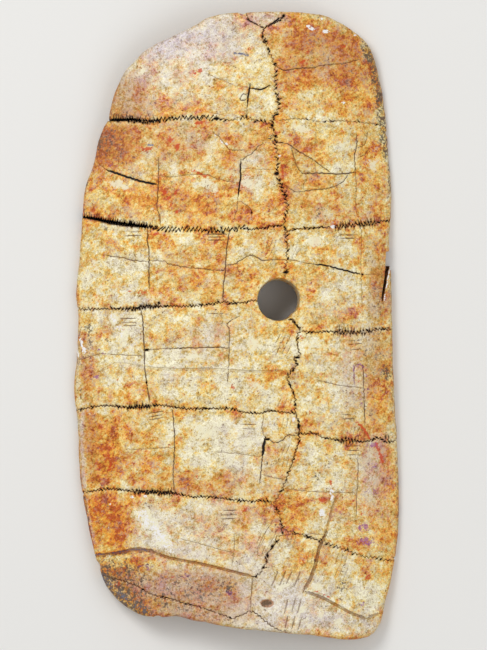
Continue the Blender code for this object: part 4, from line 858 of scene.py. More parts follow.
def drawSutures(plan):
    rusty = []
    for name, points in sutures:
        style = sutureStyles[name]
        path, side = toothed(points, style)
        half, cut = style["half"] * pixel, style["cut"] * grooves["sutureDepth"]
        dirt = random.uniform(*style["dirt"], len(path))
        plan.groove(path, side, half, cut, dirt, taper=1)
        for key, way in (("up", 1), ("down", -1)):
            for spot, across in zip(path[1:-1], side[1:-1]):
                if key in style and random.random() < teeth["combOften"]:
                    across = across * way * (1 if across[1] > 0 else -1)
                    lean = across + random.uniform(-teeth["combLean"], teeth["combLean"], 2)
                    long = style[key] * random.uniform(*teeth["combLength"]) * pixel
                    wide = style.get("tooth", teeth["combHalf"]) * pixel
                    comb = teeth["combCutShare"] * cut
                    shortCut(plan, spot, lean, long, wide, comb, random.uniform(*teeth["combDirt"]))
        # Short gaps along the suture, painted black: dirt and the painted shade of the open seam
        for spot, across, ahead in zip(path[1:-2], side[1:-2], path[2:] - path[1:-1]):
            if random.random() < style.get("gaps", 0):
                turn = random.uniform(-teeth["gapLean"], teeth["gapLean"])
                lean = ahead / np.linalg.norm(ahead) + across * turn
                long = random.uniform(*teeth["gapLength"]) * pixel
                wide = random.uniform(*teeth["gapHalf"]) * pixel
                shortCut(plan, spot - lean * long * teeth["gapBack"], lean, long, wide, cut, 1.0)
        if "rust" in style:
            rusty += [(x, y, style["rust"]) for x, y in path]
    # The gapes: cuts painted black, dirt and the painted shade of the open gap
    drop, drift = gaping["tilt"]
    for (x, y), tall, wide in gapes:
        half = gaping["plump"] * min(tall, wide)
        reach = max(max(wide, tall) - gaping["roundEnd"] * half, gaping["least"])
        if wide > tall:
            ends = (x - reach, y + drop), (x + reach, y - drop)
        else:
            ends = (x, y - reach), (x + drift, y + reach)
        path, side = straight(*ends, gaping["step"] * pixel)
        plan.groove(path, side, half * pixel, gaping["depthShare"] * grooves["sutureDepth"], 1.0)
    return np.array(rusty)


def drawSulci(plan):
    for points, half, dirt in sulci:
        path, side = wandering(points, seams["step"] * pixel, seams["stray"] * pixel)
        plan.groove(path, side, half * pixel, grooves["sulcusDepth"], dirt)
        for way in (1, -1):  # its stained borders
            border = path + way * side * (half + seams["borderAway"]) * pixel
            stained = dirt * random.uniform(*seams["borderDirt"], len(path))
            plan.groove(border, side, seams["borderHalf"] * pixel, 0, stained)


def drawCracks(plan):
    for points, half, dirt in cracks:
        path, side = wandering(points, burning["step"] * pixel, burning["stray"] * pixel)
        dark = np.clip(dirt ** burning["fade"] * random.uniform(*burning["dirt"], len(path)), 0, 1)
        width = (half * burning["widen"] + burning["margin"]) * pixel
        plan.groove(path, side, width, dirt * grooves["crackDepth"], dark, taper=3)


def drawStrokes(plan):
    for start, end in numberMarks:
        path, side = straight(start, end, marks["step"] * pixel)
        dark = random.uniform(*marks["dirt"])
        plan.groove(path, side, marks["half"] * pixel, grooves["strokeDepth"], dark)
    for (left, top, right, bottom), rows, each, half, dirt in strokeRows:
        tall = (bottom - top) / rows
        wide = (right - left) / each
        for row in range(rows):
            lean = (strokes["lean"] + random.uniform(-strokes["leanStray"], strokes["leanStray"])) * wide
            for stroke in range(each):
                aside = random.uniform(-strokes["aside"], strokes["aside"]) * wide
                middle = left + wide * (stroke + 0.5) + aside
                high = top + tall * (row + random.uniform(*strokes["top"]))
                low = top + tall * (row + random.uniform(*strokes["foot"]))
                ends = (middle + lean, high), (middle - lean, low)
                path, side = straight(*ends, strokes["step"] * pixel)
                width = strokes["widen"] * half * pixel
                plan.groove(path, side, width, grooves["strokeDepth"], strokes["darken"] * dirt)


# Open sutures: step and teeth in picture points, and how unevenly wide they are
opened = {"step": 1.2, "teeth": (0.3, 2.4), "uneven": (0.8, 1.2)}


def slitLoop(points, halves):
    # A gap about a path, with ragged lips and teeth on the upper one
    path = smoothCurve(place(points), opened["step"] * pixel)
    side = sideOf(path)
    count = len(path)
    half = np.interp(np.linspace(0, 1, count), np.linspace(0, 1, len(halves)), halves) * pixel
    long = np.where(np.arange(count) % 2 == 1, random.uniform(*opened["teeth"], count), 0) * pixel
    upper = path + side * (half * random.uniform(*opened["uneven"], count) + long)[:, None]
    lower = path - side * (half * random.uniform(*opened["uneven"], count))[:, None]
    return np.vstack([upper[:-1], path[-1:], lower[:-1][::-1]])


def circle(centre, radius, count):
    turn = np.arange(count) * 2 * math.pi / count
    return centre + radius * np.column_stack([np.cos(turn), np.sin(turn)])


# Heights

def crownHeight(points):
    x = (points[:, 0] - (plateLow[0] + plateHigh[0]) / 2) / ((plateHigh[0] - plateLow[0]) / 2)
    y = (points[:, 1] - (plateLow[1] + plateHigh[1]) / 2) / ((plateHigh[1] - plateLow[1]) / 2)
    reach = np.where(x > 0, crown["rightReach"] - crown["rightTaper"] * y, crown["leftReach"])
    power = np.where(x > 0, crown["rightPower"], crown["leftPower"])
    across = 1 - np.abs(x / reach) ** power
    edgeHeight = plate["thickness"] - plate["seatDepth"]
    return edgeHeight + plate["crossRise"] * across - plate["longRise"] * y**2


def hollowPlaces():
    made = []
    for top, foot, side in hollowStems:
        start, end = place([top, foot])
        along = (end - start) / np.linalg.norm(end - start)
        across = np.array([-along[1], along[0]])
        middle = (start + end) / 2
        made.append((middle, along, across, middle + across * side * hollow["pitOffset"]))
    return made


def innerHeight(points):
    depth = plate["thickness"] - hollow["web"]
    cut = np.zeros(len(points))
    for middle, along, across, pit in hollowPlaces():
        length = (points - middle) @ along / (hollow["slotLength"] / 2)
        width = (points - middle) @ across / (hollow["slotWidth"] / 2)
        slot = np.clip(1 - length**2, 0, 1) - np.abs(width)
        reach = np.linalg.norm(points - pit, axis=1) / (hollow["pitDiameter"] / 2)
        cut = np.maximum(cut, depth * np.clip(slot, 0, 1))
        cut = np.maximum(cut, hollow["pitShare"] * depth * np.clip(1 - reach**4, 0, 1))
    return np.maximum(crownHeight(points) - plate["thickness"] + cut, 0), cut / depth


# Faces

def keep(spots, faces, wanted, values):
    faces = faces[wanted(spots[faces].mean(axis=1))]
    corner = spots[faces]
    first, second = corner[:, 1] - corner[:, 0], corner[:, 2] - corner[:, 0]
    clockwise = first[:, 0] * second[:, 1] - first[:, 1] * second[:, 0] < 0
    faces[clockwise] = faces[clockwise][:, ::-1]
    used, index = np.unique(faces, return_inverse=True)
    return spots[used], index.reshape(-1, 3), [value[used] for value in values]


def boundaryEdges(faces):
    edges = np.concatenate([faces[:, [0, 1]], faces[:, [1, 2]], faces[:, [2, 0]]]).tolist()
    known = {(a, b) for a, b in edges}
    return [(a, b) for a, b in edges if (b, a) not in known]


def ringLoops(edges):
    following = {}
    for a, b in edges:
        following.setdefault(a, []).append(b)
    loops = []
    while following:
        start = next(iter(following))
        loop, here = [start], following[start].pop()
        if not following[start]:
            del following[start]
        while here != start:
            loop.append(here)
            step = following[here].pop()
            if not following[here]:
                del following[here]
            here = step
        loops.append(loop)
    return loops


# How the colours lie: how steeply fields, patches and bands fade, and the share of patches added to the
# fields where that isn't all
fading = {"field": 0.8, "patch": 0.9, "bandReach": 3, "share": {"warm": 0.62, "pale": 0.5, "lilac": 0.6}}


def patchStrength(spots, kind):
    # The broad field of one kind at each point, and on it the strongest of the patches and bands
    field, strength = np.zeros((2, len(spots)))
    for x, y, wide, tall, strong in fields.get(kind, []):
        away = (spots - place([(x, y)])) / (np.array([wide, tall]) * pixel)
        field = np.maximum(field, strong * np.exp(-(away**4).sum(axis=1) * fading["field"]))
    for x, y, wide, tall, strong in patches.get(kind, []):
        away = (spots - place([(x, y)])) / (np.array([wide, tall]) * pixel)
        strength = np.maximum(strength, strong * np.exp(-(away**2).sum(axis=1) * fading["patch"]))
    for points, half, strong in washes.get(kind, []):
        line = smoothCurve(place(points), pixel)
        reach = fading["bandReach"] * half * pixel
        close = np.all((spots > line.min(axis=0) - reach) & (spots < line.max(axis=0) + reach), axis=1)
        _, away = nearest(treeOf(line), spots[close])
        strength[close] = np.maximum(strength[close], strong * np.exp(-((away / (half * pixel)) ** 2)))
    return field + strength * fading["share"].get(kind, 1)


# How the faces are divided. Rings of points lie at these shares of the rim's radius, the mouth's and the
# pit's and a chip's sizes. Wobble is how far grid points stray and room how much they leave, in steps.
facing = {
    "rimRings": (0.12, 0.34, 0.64, 1.0),
    "mouthRings": (1.02, 1.05),
    "pitRings": (1.0, 0.75, 0.4),
    "pitPoints": 30,
    "chipRings": (1.3, 0.8, 0.3),
    "chipPoints": 9,
    "chipLargest": 4,        # half width in picture points from which a patch needs no rings
    "outerWobble": 0.16,
    "outerRoom": 0.42,
    "innerWobble": 0.1,
    "innerRoom": 0.45,
    "innerMerge": 0.000004,
    "slitSoot": (0.9, 0.9, 0.0),  # painted shade on the lips of the open sutures and of the splinter's gap
    "slitCut": 0.0004,
    "coresTried": 9,
    "coreFlat": 1.6,         # how flat a groove's floor is, over a plain slope from middle to lip
    "fringeReach": 1.6,      # picture points over which dirt beside a groove fades
    "stainReach": 4.5,       # and rust beside a suture
}


def outerFace(rim, slits, mouth):
    plan = Plan()
    inward = -sideOf(rim, closed=True)
    plan.line(rim, closed=True)
    for share in facing["rimRings"]:
        plan.line(rim + inward * plate["rimRadius"] * share, closed=True)
    plan.line(mouth, closed=True)
    rings = [(plate["pit"], facing["pitPoints"], facing["pitRings"])]
    for kind in ("white", "rust", "plum"):
        small = [patch[:4] for patch in patches[kind] if patch[2] < facing["chipLargest"]]
        rings += [(patch, facing["chipPoints"], facing["chipRings"]) for patch in small]
    for (x, y, wide, tall), count, shares in rings:
        turn = np.arange(count) * 2 * math.pi / count
        for share in shares:
            ring = np.column_stack([x + share * wide * np.cos(turn), y + share * tall * np.sin(turn)])
            plan.line(place(ring), closed=True)
    mouthCentre = mouth.mean(axis=0)
    for share in facing["mouthRings"]:
        plan.line((mouth - mouthCentre) * share + mouthCentre, closed=True)
    # The lips of the open sutures are cut down a little and painted dark: painted shade of the gap
    for slit, lipShade in zip(slits, facing["slitSoot"]):
        plan.line(slit, cut=facing["slitCut"] * lipShade, dirt=lipShade, closed=True)
    rusty = drawSutures(plan)
    drawSulci(plan)
    drawCracks(plan)
    drawStrokes(plan)
    grid = hexGrid(plate["outerStep"], facing["outerWobble"])
    grid = grid[inside(grid, rim)]
    _, away = nearest(treeOf(plan.spots), grid)
    plan.points(grid[away > plate["outerStep"] * facing["outerRoom"]])
    print("outer face drawn with", len(plan.spots), "points")
    spots, faces, cut, dirt = plan.triangles(grooves["merge"])

    def wanted(middles):
        kept = inside(middles, rim) & ~inside(middles, mouth)
        for slit in slits:
            kept &= ~inside(middles, slit)
        return kept

    spots, faces, (cut, dirt) = keep(spots, faces, wanted, [cut, dirt])
    # Where grooves cross, a point takes the deepest of those that it lies in
    cores = np.array(plan.cores)
    coreTree = treeOf(cores[:, :2])
    fringe = np.zeros(len(spots))
    for point, (x, y) in enumerate(spots):
        found = coreTree.find_n((x, y, 0), facing["coresTried"])
        index, away = np.array([f[1] for f in found]), np.array([f[2] for f in found])
        near = np.clip(facing["coreFlat"] * (1 - away / cores[index, 2]), 0, 1)
        cut[point] = max(cut[point], (near * cores[index, 3]).max())
        dirt[point] = max(dirt[point], (near * cores[index, 4]).max())
        fringe[point] = (cores[index, 4] * np.exp(-away / (facing["fringeReach"] * pixel))).max()
    index, away = nearest(treeOf(rusty[:, :2]), spots)
    stain = rusty[index, 2] * np.exp(-((away / (facing["stainReach"] * pixel)) ** 2))
    return spots, faces, cut, dirt, fringe, stain


def innerFace(loops):
    plan = Plan()
    for loop in loops:
        plan.line(loop, closed=True)
    for middle, along, across, pit in hollowPlaces():
        turn = np.arange(hollow["slotPoints"]) * 2 * math.pi / hollow["slotPoints"]
        length, width = np.cos(turn), np.sign(np.sin(turn)) * np.sin(turn) ** 2
        for share in hollow["slotRings"]:
            plan.line(middle + np.outer(length * share * hollow["slotLength"] / 2, along)
                      + np.outer(width * share * hollow["slotWidth"] / 2, across), closed=True)
        for share in hollow["pitRings"]:
            plan.line(circle(pit, share * hollow["pitDiameter"] / 2, hollow["pitPoints"]), closed=True)
    grid = hexGrid(plate["innerStep"], facing["innerWobble"])
    _, away = nearest(treeOf(plan.spots), grid)
    plan.points(grid[away > plate["innerStep"] * facing["innerRoom"]])
    spots, faces, _, _ = plan.triangles(facing["innerMerge"])

    def wanted(middles):
        return np.sum([inside(middles, loop) for loop in loops], axis=0) % 2 == 1

    spots, faces, _ = keep(spots, faces, wanted, [])
    return spots, faces


# The hole's mouth, with the broken bit at its lower right: how much of the radius is lost, at what angle
# and over how much of one; then the rounding of its lip
mouthForm = {
    "points": 110, "ragged": 0.004, "broken": 0.055, "brokenAt": -0.80, "brokenOver": 0.17,
    "lipDrop": 0.0003, "lipReach": 0.0004,
}

# The walls between the faces. Lengths are metres; a bend of 1 is a straight wall, more keeps it near the
# outer face's edge for longer.
walls = {
    "mouthNear": 0.001,      # a loop whose middle is nearer the mouth's than this is the mouth
    "mouthMost": 400,        # and has fewer points than this
    "mouthBend": 0.8,
    "rimNear": 0.0001,       # points nearer the rim than this belong to it
    "slitNear": 0.0003,
    "slitBend": 1.0,
    "rimBend": 3.0,
    "leanReach": 0.0035,     # the lean of the gaps fades over this
    "wornReach": 0.0015,     # the lower rim isn't worn within this of the splinter's gap
    "cutAtRim": 0.6,         # how much shallower grooves get on the rounded rim
    "pitPower": 0.7,
    "dirtReach": 0.0010,     # painted shade on the gaps' walls, as far as so many of these from the gap
    "slitDirt": 1.5,
    "wedgeDirt": 1.6,
    "deepSlope": 2.0,        # beside the splinter only the lower part is painted dark, as shade
    "deepStart": 0.4,
    "edgeReach": 0.0016,
}


def plateMesh():
    rim = plateRim()
    slits = [slitLoop(points, half) for points, half in openSlits] + [place(splinterWedge)]
    hole = place([plate["holeCentre"]])[0]
    mouthCentre = hole + plate["mouthLean"]
    mouth = circle(mouthCentre, plate["holeDiameter"] / 2 + plate["mouthFlare"], mouthForm["points"])
    turn = np.arctan2(*(mouth - mouthCentre).T[::-1])
    aside = (turn - mouthForm["brokenAt"]) / mouthForm["brokenOver"]
    lost = mouthForm["broken"] * np.exp(-(aside**2))
    mouth += (mouth - mouthCentre) * (random.normal(0, mouthForm["ragged"], len(mouth)) - lost)[:, None]

    top, topFaces, cut, dirt, fringe, stain = outerFace(rim, slits, mouth)
    loops = ringLoops(boundaryEdges(topFaces))
    print("outer face", len(topFaces), "triangles,", len(loops), "edges round it")

    # The inner face has the same boundary; the hole narrows and leans, and so do the open sutures
    slitTree, wedgeTree = treeOf(np.vstack(slits[:-1])), treeOf(slits[-1])
    rimIndex, rimAway = nearest(treeOf(rim), top)
    inward = -sideOf(rim, closed=True)
    footLoops, bends = [], []
    for loop in loops:
        spots = top[loop].copy()
        aside = np.linalg.norm(spots.mean(axis=0) - mouthCentre)
        if aside < walls["mouthNear"] and len(loop) < walls["mouthMost"]:
            mouthWidth = plate["holeDiameter"] + 2 * plate["mouthFlare"]
            spots = (spots - mouthCentre) * plate["holeDiameter"] / mouthWidth + hole
            bends.append(np.full(len(loop), walls["mouthBend"]))
        else:
            _, slitAway = nearest(slitTree, spots)
            _, wedgeAway = nearest(wedgeTree, spots)
            worn = plate["footRadius"] * (rimAway[loop] < walls["rimNear"])
            worn = worn * (1 - np.exp(-((wedgeAway / walls["wornReach"]) ** 2)))
            spots += inward[rimIndex[loop]] * worn[:, None]
            spots[:, 1] -= plate["slitLean"] * np.exp(-((slitAway / walls["leanReach"]) ** 2))
            spots[:, 0] -= plate["wedgeLean"] * np.exp(-((wedgeAway / walls["leanReach"]) ** 2))
            onSlit = np.minimum(slitAway, wedgeAway) < walls["slitNear"]
            bends.append(np.where(onSlit, walls["slitBend"], walls["rimBend"]))
        footLoops.append(spots)
    foot, footFaces = innerFace(footLoops)
    print("inner face", len(footFaces), "triangles")

    # Heights
    _, rimGap = nearest(treeOf(rim), top)
    nearRim = np.clip(plate["rimRadius"] - rimGap, 0, plate["rimRadius"])
    rounding = plate["rimRadius"] - np.sqrt(plate["rimRadius"] ** 2 - nearRim**2)
    cut = cut * (1 - walls["cutAtRim"] * nearRim / plate["rimRadius"])
    topHeight = crownHeight(top) - plate["faceDrop"] - rounding - cut
    mouthGap = np.linalg.norm(top - mouthCentre, axis=1) - plate["holeDiameter"] / 2 - plate["mouthFlare"]
    topHeight -= mouthForm["lipDrop"] * np.clip(1 - mouthGap / mouthForm["lipReach"], 0, 1) ** 2
    pitCentre, pitSize = place([plate["pit"][:2]])[0], np.array(plate["pit"][2:]) * pixel
    pit = np.clip(1 - (((top - pitCentre) / pitSize) ** 2).sum(axis=1), 0, 1)
    topHeight -= plate["pitDepth"] * pit ** walls["pitPower"]
    footHeight, hollowShare = innerHeight(foot)

    # Walls: rows of points between each edge of the outer face and the same edge of the inner one
    rows = plate["wallRows"]
    footTree = treeOf(foot)
    wallSpots, wallShares, wallFaces, column = [], [], [], {}
    start = len(top) + len(foot)
    for loop, spots, bend in zip(loops, footLoops, bends):
        footIndex, _ = nearest(footTree, spots)
        for topIndex, bottomIndex, power in zip(loop, footIndex, bend):
            upper = np.array([*top[topIndex], topHeight[topIndex]])
            lower = np.array([*foot[bottomIndex], footHeight[bottomIndex]])
            between = []
            for row in range(1, rows):
                share = row / rows
                spot = upper + (lower - upper) * share
                spot[:2] = upper[:2] + (lower[:2] - upper[:2]) * share**power
                between.append(start + len(wallSpots))
                wallSpots.append(spot)
                wallShares.append(share)
            column[topIndex] = [topIndex] + between + [len(top) + bottomIndex]
    for a, b in boundaryEdges(topFaces):
        for upA, downA, upB, downB in zip(column[a], column[a][1:], column[b], column[b][1:]):
            wallFaces += [(upA, downA, downB), (upA, downB, upB)]
    wallFaces = [face for face in wallFaces if len(set(face)) == 3]
    corners = np.vstack([
        np.column_stack([top, topHeight]), np.column_stack([foot, footHeight]), np.array(wallSpots),
    ])
    faces = np.vstack([topFaces, footFaces[:, ::-1] + len(top), np.array(wallFaces)])

    # Values that the finish reads: for the points of the outer face, the inner face and the walls
    # Painted shade: the walls of the open sutures, and the lower part of the splinter's gap, are painted
    # dark
    wallPlan = corners[-len(wallSpots):, :2]
    slitGap = nearest(slitTree, wallPlan)[1] / walls["dirtReach"]
    wedgeGap = nearest(wedgeTree, wallPlan)[1] / walls["dirtReach"]
    splinterWallShade = np.clip(walls["deepSlope"] * np.array(wallShares) - walls["deepStart"], 0, 1)
    splinterWallShade = splinterWallShade * np.clip(walls["wedgeDirt"] - wedgeGap, 0, 1)
    wallShade = np.maximum(np.clip(walls["slitDirt"] - slitGap, 0, 1), splinterWallShade)
    onTop, onFoot, onWall = np.zeros(len(top)), np.zeros(len(foot)), np.zeros(len(wallSpots))
    values = {
        "outer": (onTop + 1, onFoot, onWall),
        "dirt": (dirt, onFoot, wallShade),
        "fringe": (fringe, onFoot, onWall),
        "stain": (stain, onFoot, onWall),
        "pit": (pit, onFoot, onWall),
        # edge: near the rim, and all walls; the rim coat paints it umber, partly as painted shade
        "edge": (np.clip(1 - rimGap / walls["edgeReach"], 0, 1), onFoot, onWall + 1),
        "char": (onTop, hollowShare, onWall),
    }
    values = {name: np.concatenate(parts) for name, parts in values.items()}
    for kind in sorted(fields.keys() | patches.keys() | washes.keys()):
        values[kind] = patchStrength(corners[:, :2], kind)
    print("mesh", len(corners), "points,", len(faces), "triangles")
    return corners, faces, values


# Geometry Nodes: the swell and grain of the worn surface

relief = {
    "Swell": 0.00016, "Swell Size": 0.014, "Grain": 0.00005, "Grain Size": 0.0022,
    "Ripple": 0.00003, "Ripple Size": 0.005, "Seed": 4.0,
}
reliefDetail = {"Swell": 2.0, "Grain": 3.0, "Ripple": 2.0}
rippleStretch = (2.6, 0.35, 1.0)


def reliefTree(material):
    tree = bpy.data.node_groups.new("wornSurface", "GeometryNodeTree")
    face = tree.interface
    face.new_socket("Geometry", in_out="INPUT", socket_type="NodeSocketGeometry")
    for name in relief:
        face.new_socket(name, in_out="INPUT", socket_type="NodeSocketFloat")
    face.new_socket("Geometry", in_out="OUTPUT", socket_type="NodeSocketGeometry")
    nodes, links = tree.nodes, tree.links
    inputs = nodes.new("NodeGroupInput")

    def node(kind, settings=(), values=()):
        made = nodes.new(kind)
        for name, value in dict(settings).items():
            setattr(made, name, value)
        for name, value in dict(values).items():
            if isinstance(value, bpy.types.NodeSocket):
                links.new(value, made.inputs[name])
            else:
                made.inputs[name].default_value = value
        return made

    def maths(operation, first, second):
        return node("ShaderNodeMath", {"operation": operation}, {0: first, 1: second}).outputs[0]

    where = node("GeometryNodeInputPosition").outputs[0]
    stretched = node("ShaderNodeVectorMath", {"operation": "MULTIPLY"}, {0: where, 1: rippleStretch})

    def waves(name, spot):
        scale = maths("DIVIDE", 1.0, inputs.outputs[name + " Size"])
        seed = inputs.outputs["Seed"]
        values = {"Vector": spot, "W": seed, "Scale": scale, "Detail": reliefDetail[name]}
        noise = node("ShaderNodeTexNoise", {"noise_dimensions": "4D"}, values)
        return maths("MULTIPLY", maths("SUBTRACT", noise.outputs[0], 0.5), inputs.outputs[name])

    total = maths("ADD", waves("Swell", where), waves("Grain", where))
    total = maths("ADD", total, waves("Ripple", stretched.outputs[0]))
    outer = node("GeometryNodeInputNamedAttribute", {"data_type": "FLOAT"}, {"Name": "lift"}).outputs[0]
    # A noise strays half either way, so twice that is the height named above
    lift = maths("MULTIPLY", maths("MULTIPLY", total, outer), 2.0)
    offset = node("ShaderNodeCombineXYZ", (), {"Z": lift}).outputs[0]
    given = inputs.outputs["Geometry"]
    moved = node("GeometryNodeSetPosition", (), {"Geometry": given, "Offset": offset})
    real = node("GeometryNodeRealizeInstances", (), {"Geometry": moved.outputs[0]})
    finished = node("GeometryNodeSetMaterial", (), {"Geometry": real.outputs[0], "Material": material})
    output = nodes.new("NodeGroupOutput")
    links.new(finished.outputs[0], output.inputs[0])
    return tree


def weather(piece, material):
    tree = reliefTree(material)
    modifier = piece.modifiers.new("wornSurface", "NODES")
    modifier.node_group = tree
    for item in tree.interface.items_tree:
        if item.item_type == "SOCKET" and item.in_out == "INPUT" and item.name in relief:
            modifier[item.identifier] = relief[item.name]
    evaluated = piece.evaluated_get(bpy.context.evaluated_depsgraph_get())
    plain = bpy.data.meshes.new_from_object(evaluated)
    piece.modifiers.remove(modifier)
    old, piece.data = piece.data, plain
    bpy.data.meshes.remove(old)


# Shader maths: a wrapped socket that can be added, multiplied and so on

class Shade:
    def __init__(self, finish, socket):
        self.finish, self.socket = finish, socket

    def maths(self, operation, first, second):
        made = self.finish.node("ShaderNodeMath", {"operation": operation}, {0: first, 1: second})
        return self.finish.out(made)

    def __add__(self, other):
        return self.maths("ADD", self, other)

    def __radd__(self, other):
        return self.maths("ADD", other, self)

    def __sub__(self, other):
        return self.maths("SUBTRACT", self, other)

    def __rsub__(self, other):
        return self.maths("SUBTRACT", other, self)

    def __mul__(self, other):
        return self.maths("MULTIPLY", self, other)

    def band(self, low, high):
        # 0 below low, 1 above high, smooth between
        settings = {"interpolation_type": "SMOOTHSTEP"}
        values = {"Value": self, "From Min": low, "From Max": high}
        return self.finish.out(self.finish.node("ShaderNodeMapRange", settings, values))


class Finish:
    # A material's node tree, with one method that adds any node
    def __init__(self, name):
        self.material = bpy.data.materials.new(name)
        self.material.use_nodes = True
        self.tree = self.material.node_tree
        self.shader = self.tree.nodes["Principled BSDF"]

    def node(self, kind, settings=(), values=()):
        made = self.tree.nodes.new(kind)
        for name, value in dict(settings).items():
            setattr(made, name, value)
        for name, value in dict(values).items():
            if isinstance(value, Shade):
                self.tree.links.new(value.socket, made.inputs[name])
            else:
                made.inputs[name].default_value = value
        return made

    def out(self, made, name=0):
        return Shade(self, made.outputs[name])

    def attribute(self, name):
        return self.out(self.node("ShaderNodeAttribute", {"attribute_name": name}), "Fac")

    def mix(self, factor, first, second):
        # A Mix node for colours: factor and the two colours are inputs 0, 6 and 7, the colour is output 2
        made = self.node("ShaderNodeMix", {"data_type": "RGBA"}, {0: factor, 6: first, 7: second})
        return self.out(made, 2)

    def vector(self, operation, first, second):
        made = self.node("ShaderNodeVectorMath", {"operation": operation}, {0: first, 1: second})
        return self.out(made)

    def ramp(self, factor, levels):
        # The levels are tones of the bone with their places between 0 and 1
        made = self.node("ShaderNodeValToRGB", (), {0: factor})
        elements = made.color_ramp.elements
        while len(elements) < len(levels):
            elements.new(1.0)
        for element, (name, position) in zip(elements, levels):
            element.position = position
            element.color = bone[name]
        return self.out(made)


def tone(red, green, blue):
    # Display values out of 255 to the linear ones that a shader takes
    linear = []
    for value in (red / 255, green / 255, blue / 255):
        linear.append(value / 12.92 if value <= 0.04045 else ((value + 0.055) / 1.055) ** 2.4)
    return (*linear, 1.0)


bone = {
    "cream": tone(244, 237, 204),
    "straw": tone(238, 220, 154),
    "sand": tone(236, 202, 112),
    "ochre": tone(234, 172, 64),
    "orange": tone(220, 132, 34),
    "russet": tone(188, 86, 24),
    "dusk": tone(150, 112, 78),
    "white": tone(246, 243, 240),
    "lilac": tone(214, 205, 216),
    "plum": tone(158, 84, 150),
    "rust": tone(206, 72, 8),
    "grey": tone(90, 76, 60),
    "soot": tone(16, 12, 10),
    "umber": tone(104, 62, 34),
    "scratch": tone(112, 66, 40),
    "slate": tone(112, 122, 150),
    "rose": tone(172, 108, 62),
    "olive": tone(66, 64, 44),
    "dust": tone(176, 160, 136),
    "levels": (("cream", 0.0), ("straw", 0.22), ("sand", 0.43), ("ochre", 0.65), ("orange", 0.87),
               ("russet", 1.0)),
    "plainLevels": (("dust", 0.2), ("ochre", 0.5), ("umber", 0.9)),
    "level": 0.45,           # where on the levels the bone lies on the whole
    "hueSwing": 0.18,        # how far the broad mottling shifts it, and how much less where it is warm
    "hueCalm": 0.09,
    "levelShift": {"fibre": 0.09, "fine": 0.06, "warm": 0.42, "pale": -0.42, "stain": 0.22, "rust": 0.25},
    "swing": {"shade": 0.10, "speck": 0.12, "grain": 0.095},  # the light and dark mottling
    "light": ((1.01, 1.0), (0.99, 1.15), (0.97, 1.35)),  # for red, green and blue: the mean and the swing
    "plainLevel": 0.5,
    "plainShift": {"hue": 0.14, "shade": 0.06},
    "plainShare": 0.7,
    "sootTone": (0.45, 0.95),        # from brown to black, by how dark a groove is painted for its dirt and painted shade
    "sootBands": ((0.05, 0.45, 0.55), (0.45, 0.8, 0.45)),  # a thin and a thick layer: band and share
    "sootGrain": 0.03,
    "bumps": {"grain": 0.12, "fibre": 0.16, "shade": 0.06},
    "poreDepth": 0.4,
    "bumpHeight": 0.00012,
    "bumpStrength": 0.4,
    "roughness": 0.46,
    "roughSwing": 0.06,
    "sootRough": 0.25,
    "specular": 0.35,
    "grainTurn": -0.6,       # the fibres' direction on the plate, and how they are drawn out
    "grainStretch": (0.35, 1.0, 1.0),
    "lacunarity": 1.8,
}

# Noises either side of nought: scale, detail, shift, roughness, strength
noises = {
    "hue": (140.0, 5.0, 0.0, 0.85, 22.0),
    "shade": (300.0, 5.0, 3.1, 0.85, 22.0),
    "cool": (170.0, 6.0, 7.7, 0.92, 22.0),
    "fibre": (800.0, 2.0, 4.4, 0.9, 12.1),
    "fine": (1100.0, 2.0, 5.3, 0.92, 12.1),
    "speck": (1000.0, 2.0, 9.2, 0.92, 12.1),
    "grain": (2600.0, 1.0, 1.7, 0.92, 8.8),
}

